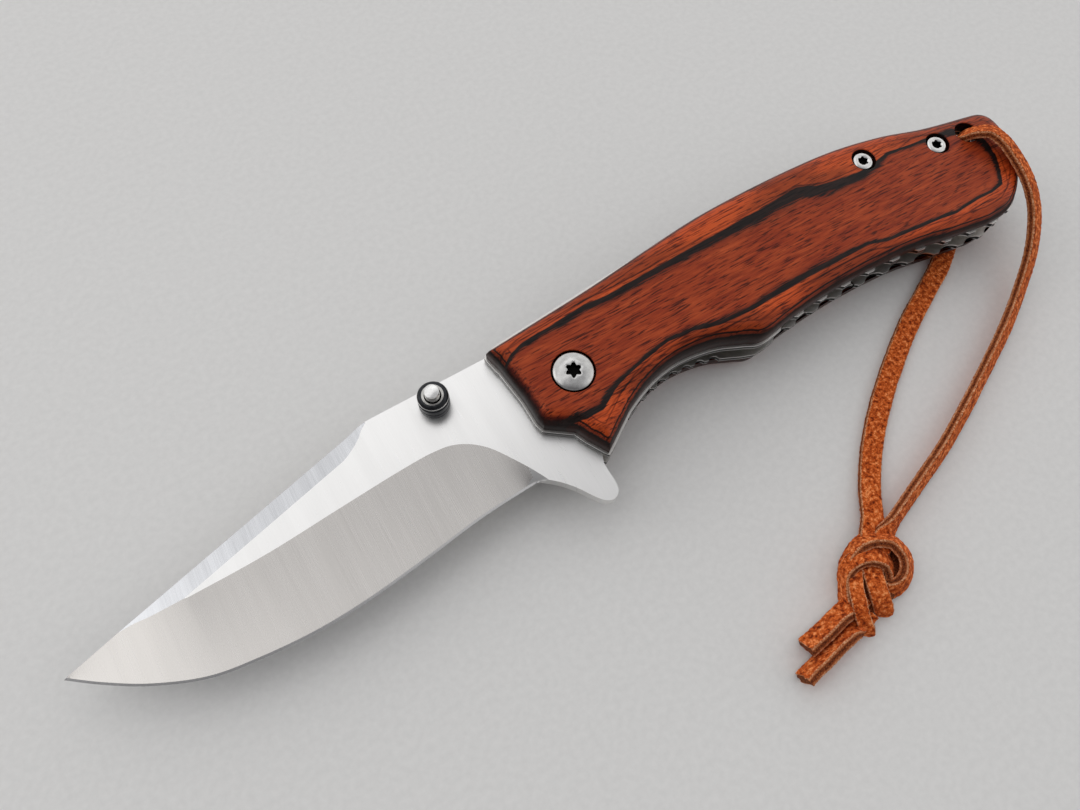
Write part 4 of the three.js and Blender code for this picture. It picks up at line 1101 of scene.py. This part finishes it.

# %% [markdown]
# The liners are stainless sheet, satin on their faces. Their narrow edges get painted shade, dark,
# and both rims a painted highlight, a bright line, so the edge is coloured by its height.

# %% Liner steel
def sheet_with_painted_edge(name, low):
    """Satin sheet whose underside is at the height low, with painted shade on its edge between
    painted highlights on its rims.
    """
    material, tree = new_material(name)
    grain = pattern(tree, 0.6, 0.12, 0.12, Detail=3.0)
    height = add(tree, "SeparateXYZ", out="Z", Vector=add(tree, "TexCoord", out="Object"))
    through = add(tree, "MapRange", Value=height, From_Min=low / 1000,
                  From_Max=(low + LINER_T) / 1000)
    # Painted highlights on both rims and painted shade on the edge face between them.
    edge = add(tree, "ValToRGB", Fac=through, stops=[
        (0.08, "#D8D6D3"), (0.18, "#1E1C1B"), (0.76, "#262423"), (0.86, "#F0EEEB")])
    face = add(tree, "ValToRGB", Fac=grain, stops=[(0.3, "#C4C1BD"), (0.7, "#D2CFCB")])
    up = add(tree, "SeparateXYZ", out="Z", Vector=add(tree, "NewGeometry", out="Normal"))
    lying = add(tree, "Math", operation="ABSOLUTE", I0=up)
    tone = add(tree, "Mix", data_type="RGBA", Factor=lying, A=edge, B=face)
    bump = add(tree, "Bump", Strength=0.4, Distance=0.00002, Height=grain)
    shader = add(tree, "BsdfPrincipled", Base_Color=tone, Metallic=1.0, Roughness=0.3,
                 Normal=bump)
    add(tree, "OutputMaterial", Surface=shader)
    return material


# Both sheets, and the lock bar, carry the painted rim highlights and the painted edge shade.
lower_sheet = sheet_with_painted_edge("stainless_steel_liner_lower", Z_LINER)
upper_sheet = sheet_with_painted_edge("stainless_steel_liner_upper", Z_FRONT_LINER)
paint(front_liner, upper_sheet)
paint(back_liner, lower_sheet)
paint(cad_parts["lock_bar"], lower_sheet)
print("liner finishes", upper_sheet.name, lower_sheet.name)

# %% [markdown]
# Screws and pins are stainless steel. A head that was turned on a lathe has fine rings, which
# spread a reflection across them, so its gloss is anisotropic round its own axis and shows bright
# and dark sectors. Sockets get painted shade, nearly black, as a deep socket lies in shadow. The
# collars of the thumb stud are blackened steel with polished rims, and the washers are plain
# bronze.

# %% Small metal finishes
def plain_metal(name, hex_code, rough, wear, axis=None):
    material, tree = new_material(name)
    cloud = pattern(tree, 0.8, Detail=4.0)
    marks = pattern(tree, 3, 3, 0.12, Detail=2.0)
    tone = add(tree, "ValToRGB", Fac=cloud, stops=[(0.35, hex_code), (0.75, wear)])
    uneven = add(tree, "MapRange", Value=cloud, From_Min=0.3, From_Max=0.7,
                 To_Min=rough * 0.85, To_Max=rough * 1.15)
    bump = add(tree, "Bump", Strength=0.25, Distance=0.00001, Height=marks)
    lathe_rings = {}
    if axis:
        outwards = add(tree, "VectorMath", operation="SUBTRACT",
                       I0=add(tree, "TexCoord", out="Object"), I1=place(*axis, 0))
        along = add(tree, "VectorMath", operation="CROSS_PRODUCT", I0=outwards, I1=(0, 0, 1))
        lathe_rings = {"Anisotropic": 0.5, "Tangent": along}
    shader = add(tree, "BsdfPrincipled", Base_Color=tone, Metallic=1.0, Roughness=uneven,
                 Normal=bump, **lathe_rings)
    add(tree, "OutputMaterial", Surface=shader)
    return material


polished = plain_metal("stainless_steel_polished", "#D6D5D3", 0.2, "#EAE9E7")
bronze = plain_metal("bronze_washer", "#B58145", 0.35, "#C99656")
black_oxide = plain_metal("steel_black_oxide", "#2E2F31", 0.34, "#3F4043")
# Painted shade: a nearly black steel for the insides of the sockets, which lie in shadow.
painted_socket_shade = plain_metal("steel_socket_painted_shade", "#121211", 0.6, "#1E1D1C")
for node in ("pivot_barrel", "stop_pin", "standoff_1", "standoff_2", "detent_ball"):
    paint(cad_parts[node], polished)
for node in ("washer_back", "washer_front"):
    paint(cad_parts[node], bronze)
print("metals", [material.name for material in (polished, bronze, black_oxide, painted_socket_shade)])

# %% [markdown]
# A turned piece may have two materials: a bright head with painted shade in its socket, or a black
# collar whose rims are polished steel. Faces are picked by how far they are from the axis and how
# high they lie.

# %% Heads and collars
# Sizes of the socket faces that take the painted shade: widest, lowest and highest.
PIVOT_SOCKET, SCREW_SOCKET = (1.5, 0.3, 1.99), (1.0, 0.05, 0.97)
# Heights of the collar rims and of the inner chamfer that are given polished steel.
POLISHED_RIMS = ((9, 1.3, 1.5), (9, 3.25, 3.47), (9, 3.68, 3.95), (1.9, 3.95, 4.25))


def second_finish_and_shade(piece, spot, material, widest, low, high, flip):
    """Give the faces of a turned piece between two heights another material: a finish, or painted
    shade in a socket.
    """
    piece.data.materials.append(material)
    for face in piece.data.polygons:
        offset = (face.center - place(*spot)) * 1000
        if offset.xy.length < widest and low < (-offset.z if flip else offset.z) < high:
            face.material_index = len(piece.data.materials) - 1


# Each head gets the painted shade in its socket.
lathe_work = [("pivot", (0, 0), PIVOT_SOCKET, "#B6B5B3", "#CFCECC")]
lathe_work += [(key, (x, y), SCREW_SOCKET, "#D0CFCD", "#E4E3E1") for key, x, y, _ in SCREWS]
for key, axis, socket, hex_code, wear in lathe_work:
    lathe = plain_metal("stainless_steel_turned_" + key, hex_code, 0.2, wear, axis)
    for piece, height, flip in heads[key]:
        paint(piece, lathe)
        second_finish_and_shade(piece, (*axis, height), painted_socket_shade, *socket, flip)
paint(stud_post, polished)
for piece, height, flip in collars:
    paint(piece, black_oxide)
    for rim in POLISHED_RIMS:
        second_finish_and_shade(piece, (*STUD, height), polished, *rim, flip)
print("turned finishes", len(lathe_work))

# %% [markdown]
# The scales are a wood laminate: thin birch veneers dyed red-brown, orange and black, pressed with
# resin, sanded and oiled. Each line of the layers is drawn at its distance in millimetres from the
# outline or from the field's black line, and noises along the grain push these distances about, so
# that the lines wander and fray as wood does.

# %% Grain of the wood
laminate, wood = new_material("wood_laminate_oiled")


def grain(along_mm, across_mm, detail, rough=0.55):
    return pattern(wood, along_mm, across_mm, across_mm * 1.6, Detail=detail, Roughness=rough)


def pushed(tree, value, *pushes):
    """A distance that noises move to and fro, each by its own reach."""
    for push, reach in pushes:
        step = add(tree, "Math", operation="MULTIPLY_ADD", I0=push, I1=reach, I2=-reach / 2)
        value = add(tree, "Math", operation="ADD", I0=value, I1=step)
    return value


rim, vein, ink = (add(wood, "Attribute", out="Fac", attribute_name=layer)
                  for layer in ("rim", "vein", "ink"))
wander, fray, hair = grain(15, 3.2, 3), grain(7, 0.8, 2), grain(4.5, 0.26, 2)
patch, cloud, pores = grain(20, 5, 1), grain(9, 4, 3), grain(3.2, 0.28, 2, 0.5)
by_rim = add(wood, "MapRange", Value=pushed(wood, rim, (wander, 0.5), (fray, 0.2)), From_Max=8)
print("wood noises and distances", len(wood.nodes))

# %% [markdown]
# Outside the field the veneers come to the surface as bands: nearly black at the rim, then brown,
# a black glue line, and orange. The black and brown at the rim are partly veneer and partly painted
# shade of the bevel. A few dark streaks follow the field's line from further out.

# %% Veneers along the edges
# The first stops, near black and brown, hold painted bevel shade as well as veneer colour.
bands = add(wood, "ValToRGB", Fac=by_rim, stops=[
    (0.0, "#2A110A"), (0.03, "#220D08"), (0.036, "#120806"), (0.055, "#150A07"),
    (0.065, "#5A210F"), (0.1, "#782C12"), (0.108, "#1B0C09"), (0.128, "#1B0C09"),
    (0.14, "#923814"), (0.29, "#9C3E19"), (0.31, "#5E200C"), (0.34, "#9C3E19"), (0.6, "#A2431B")])
outside = pushed(wood, vein, (wander, 1.2), (fray, 0.35))
streak = add(wood, "ValToRGB", Fac=add(
    wood, "MapRange", Value=outside, From_Min=0.6, From_Max=2.4), stops=[
        (0.3, "#FFFFFF"), (0.4, "#4E2014"), (0.47, "#4E2014"), (0.56, "#FFFFFF")])
gaps = add(wood, "ValToRGB", Fac=patch, stops=[(0.42, "#000000"), (0.6, "#FFFFFF")])
streak = add(wood, "Mix", data_type="RGBA", blend_type="ADD", Factor=1.0, A=streak, B=gaps)
bands = add(wood, "Mix", **MULTIPLY, Factor=0.8, A=bands, B=streak)
print("wood nodes with the bands", len(wood.nodes))

# %% [markdown]
# The field is one red-brown veneer, a little cloudy. Painted shade darkens it towards the rim and
# on the walls of the holes, where the surface turns away from the light. The black line between
# field and bands is sharp on its outer side and feathered along the grain on its inner side.

# %% Field and black line
tones = add(wood, "ValToRGB", Fac=fray, stops=[
    (0.3, "#94361A"), (0.5, "#A8441F"), (0.72, "#BC5228")])
clouds = add(wood, "ValToRGB", Fac=cloud, stops=[(0.32, "#EADAD2"), (0.68, "#FFFFFF")])
# Painted shade: the field darkens towards the outline and on the walls of the holes.
painted_edge_shade = add(wood, "ValToRGB", Fac=by_rim, stops=[
    (0.0, "#2E201C"), (0.07, "#46322C"), (0.12, "#8E7068"), (0.19, "#FFFFFF")])
field = add(wood, "Mix", **MULTIPLY, Factor=1.0, A=tones, B=clouds)
field = add(wood, "Mix", **MULTIPLY, Factor=1.0, A=field, B=painted_edge_shade)

by_ink = add(wood, "Math", operation="DIVIDE", I0=pushed(wood, vein, (wander, 0.9)), I1=ink)
beyond_ink = add(wood, "MapRange", Value=by_ink, From_Min=0.1, From_Max=0.4)
whole = add(wood, "Mix", data_type="RGBA", Factor=beyond_ink, A=field, B=bands)
inner = add(wood, "MapRange", Value=pushed(wood, by_ink, (hair, 1.9), (fray, 0.6)),
            From_Min=-2.4, From_Max=0)
feather = add(wood, "ValToRGB", Fac=inner, stops=[
    (0.0, "#000000"), (0.35, "#181818"), (0.62, "#8A8A8A"), (0.78, "#FFFFFF")])
outer = add(wood, "MapRange", Value=pushed(wood, by_ink, (fray, 0.35)))
border = add(wood, "ValToRGB", Fac=outer, stops=[(0.42, "#FFFFFF"), (0.58, "#000000")])
black = add(wood, "Mix", **MULTIPLY, Factor=1.0, A=feather, B=border)
dye = add(wood, "ValToRGB", Fac=fray, stops=[(0.35, "#150E0D"), (0.7, "#2A1C19")])
whole = add(wood, "Mix", data_type="RGBA", Factor=black, A=whole, B=dye)
print("wood nodes with the black line", len(wood.nodes))

# %% [markdown]
# Pores run along the handle and hold the dark oil. They are drawn a quarter of a millimetre wide,
# coarser than birch has them, so that they show. Oil gives the resin-hard wood a low gloss.

# %% Pores and oil
dark_pores = add(wood, "ValToRGB", Fac=pores, stops=[(0.35, "#4A1E12"), (0.45, "#FFFFFF")])
dark_hairs = add(wood, "ValToRGB", Fac=hair, stops=[(0.3, "#9C6E60"), (0.52, "#FFFFFF")])
whole = add(wood, "Mix", **MULTIPLY, Factor=0.8, A=whole, B=dark_pores)
whole = add(wood, "Mix", **MULTIPLY, Factor=0.7, A=whole, B=dark_hairs)
bump = add(wood, "Bump", Strength=0.3, Distance=0.00003, Height=pores)
oiled = add(wood, "BsdfPrincipled", Base_Color=whole, Roughness=0.4, IOR=1.5, Normal=bump,
            Specular_IOR_Level=0.16)
add(wood, "OutputMaterial", Surface=oiled)
for piece in (front_scale, back_scale):
    paint(piece, laminate)
print("wood nodes", len(wood.nodes))

# %% [markdown]
# The lace is vegetable-dyed suede. Suede is split hide: a short nap that scatters light softly, a
# mottled orange-brown. A cut edge has pale torn corners with darker fibres between them, and the
# points of the mesh say how far each place is cut edge. The nap is drawn 0.3 mm apart, a few times
# coarser than real, so that it shows.

# %% Suede
def suede():
    material, tree = new_material("leather_suede_lace")
    mottle = pattern(tree, 0.8, Detail=5, Roughness=0.65)
    nap = pattern(tree, 0.3, Detail=3, Roughness=0.7)
    fibre = pattern(tree, 0.24, Detail=2, Roughness=0.65)
    cut = add(tree, "Attribute", out="Fac", attribute_name="cut_edge")
    cut = pushed(tree, cut, (nap, 0.5))
    dyed = add(tree, "ValToRGB", Fac=mottle, stops=[
        (0.36, "#6A2409"), (0.45, "#B54C19"), (0.55, "#DC6B2C"), (0.64, "#FFA060")])
    pits = add(tree, "ValToRGB", Fac=nap, stops=[(0.34, "#7A3A1C"), (0.48, "#FFFFFF")])
    pale = add(tree, "ValToRGB", Fac=nap, stops=[
        (0.35, "#8E4A26"), (0.5, "#C07A50"), (0.62, "#E8B48C")])
    fibres = add(tree, "ValToRGB", Fac=fibre, stops=[
        (0.35, "#3C180A"), (0.5, "#6A3018"), (0.68, "#A86036")])
    corner = add(tree, "ValToRGB", Fac=cut, stops=[
        (0.3, "#000000"), (0.46, "#FFFFFF"), (0.76, "#FFFFFF"), (0.88, "#000000")])
    middle = add(tree, "ValToRGB", Fac=cut, stops=[(0.76, "#000000"), (0.92, "#FFFFFF")])
    tone = add(tree, "Mix", **MULTIPLY, Factor=0.6, A=dyed, B=pits)
    tone = add(tree, "Mix", data_type="RGBA", Factor=corner, A=tone, B=pale)
    tone = add(tree, "Mix", data_type="RGBA", Factor=middle, A=tone, B=fibres)
    soft = add(tree, "Bump", Strength=0.7, Distance=0.0003, Height=mottle)
    bump = add(tree, "Bump", Strength=0.8, Distance=0.00012, Height=nap, Normal=soft)
    shader = add(tree, "BsdfPrincipled", Base_Color=tone, Roughness=0.92, Normal=bump,
                 Specular_IOR_Level=0.15, Sheen_Weight=0.12, Sheen_Roughness=0.5,
                 Sheen_Tint=colour("#F0A070"))
    add(tree, "OutputMaterial", Surface=shader)
    return material


leather = suede()
for piece in (strand_top, strand_bottom, knot):
    paint(piece, leather)
print("suede nodes", len(leather.node_tree.nodes))

# %% [markdown]
# The studio starts with a floor of pale card. It lies a hair below the table height, so that it
# never shares a plane with the underside of the back scale.

# %% Floor
FLOOR_HALF = 3.0

floor_mesh = bpy.data.meshes.new("floor")
floor_mesh.from_pydata([(-FLOOR_HALF, -FLOOR_HALF, 0), (FLOOR_HALF, -FLOOR_HALF, 0),
                        (FLOOR_HALF, FLOOR_HALF, 0), (-FLOOR_HALF, FLOOR_HALF, 0)], [],
                       [(0, 1, 2, 3)])
floor = bpy.data.objects.new("floor", floor_mesh)
floor.location.z = -0.00002
bpy.context.scene.collection.objects.link(floor)
card, tree = new_material("floor_pale_card")
fleck = add(tree, "ValToRGB", Fac=pattern(tree, 1.2, Detail=3.0), stops=[
    (0.3, "#E1E0DE"), (0.7, "#E7E6E4")])
paper = add(tree, "BsdfPrincipled", Roughness=0.85, Base_Color=fleck)
add(tree, "OutputMaterial", Surface=paper)
paint(floor, card)
print("floor", [round(side, 2) for side in floor.dimensions])

# %% [markdown]
# The dome gives the plain light. It is pale at the sides and darker right above, which the hollow
# grind reflects. It is also darker behind the camera, which gives round heads their dark halves.

# %% Dome
BEHIND_CAMERA = (-0.588, -0.809, 0)

world = bpy.data.worlds.new("dome")
bpy.context.scene.world = world
world.use_nodes = True
tree = world.node_tree
tree.nodes.clear()
direction = add(tree, "TexCoord", out="Generated")
sky = add(tree, "ValToRGB", Fac=add(tree, "SeparateXYZ", out="Z", Vector=direction), stops=[
    (0.0, "#F2F2F2"), (0.6, "#F4F4F4"), (0.8, "#DFDFE0"), (0.93, "#C0C0C2"), (1.0, "#B9B9BB")])
behind = add(tree, "VectorMath", operation="DOT_PRODUCT", I0=direction, I1=BEHIND_CAMERA)
behind = add(tree, "MapRange", Value=behind, From_Min=0.05, From_Max=0.55)
dim = add(tree, "ValToRGB", Fac=behind, stops=[(0.0, "#FFFFFF"), (1.0, "#8C8C8E")])
sky = add(tree, "Mix", **MULTIPLY, Factor=1.0, A=sky, B=dim)
add(tree, "OutputWorld", Surface=add(tree, "Background", Color=sky, Strength=1.1))
print("dome nodes", len(tree.nodes))

# %% [markdown]
# Two soft lamps stand on the spine side. The flats of the blade reflect the long one, so that they
# read bright above the greyer grind. The small one stands at the tip's end of that side and draws
# a line of light on the rims.

# %% Lamps
LIT_PLACE = (-20, 0, 0)


def soft_lamp(name, spot, size, radiance):
    """A rectangle that gives the same brightness from all over, whatever its size."""
    light = bpy.data.lights.new(name, "AREA")
    light.shape, light.size, light.size_y = "RECTANGLE", size[0], size[1]
    light.energy = radiance * math.pi * size[0] * size[1]
    lamp = bpy.data.objects.new(name, light)
    bpy.context.scene.collection.objects.link(lamp)
    lamp.location = place(*spot)
    to_knife = place(*LIT_PLACE) - lamp.location
    lamp.rotation_euler = to_knife.to_track_quat("-Z", "Y").to_euler()


soft_lamp("long_softbox", (-130, 280, 745), (1.3, 0.36), 0.53)
soft_lamp("tip_softbox", (-520, 420, 400), (0.4, 0.4), 0.6)
bpy.context.scene.view_settings.view_transform = "Standard"
print("lamps", [lamp.name for lamp in bpy.data.lights])
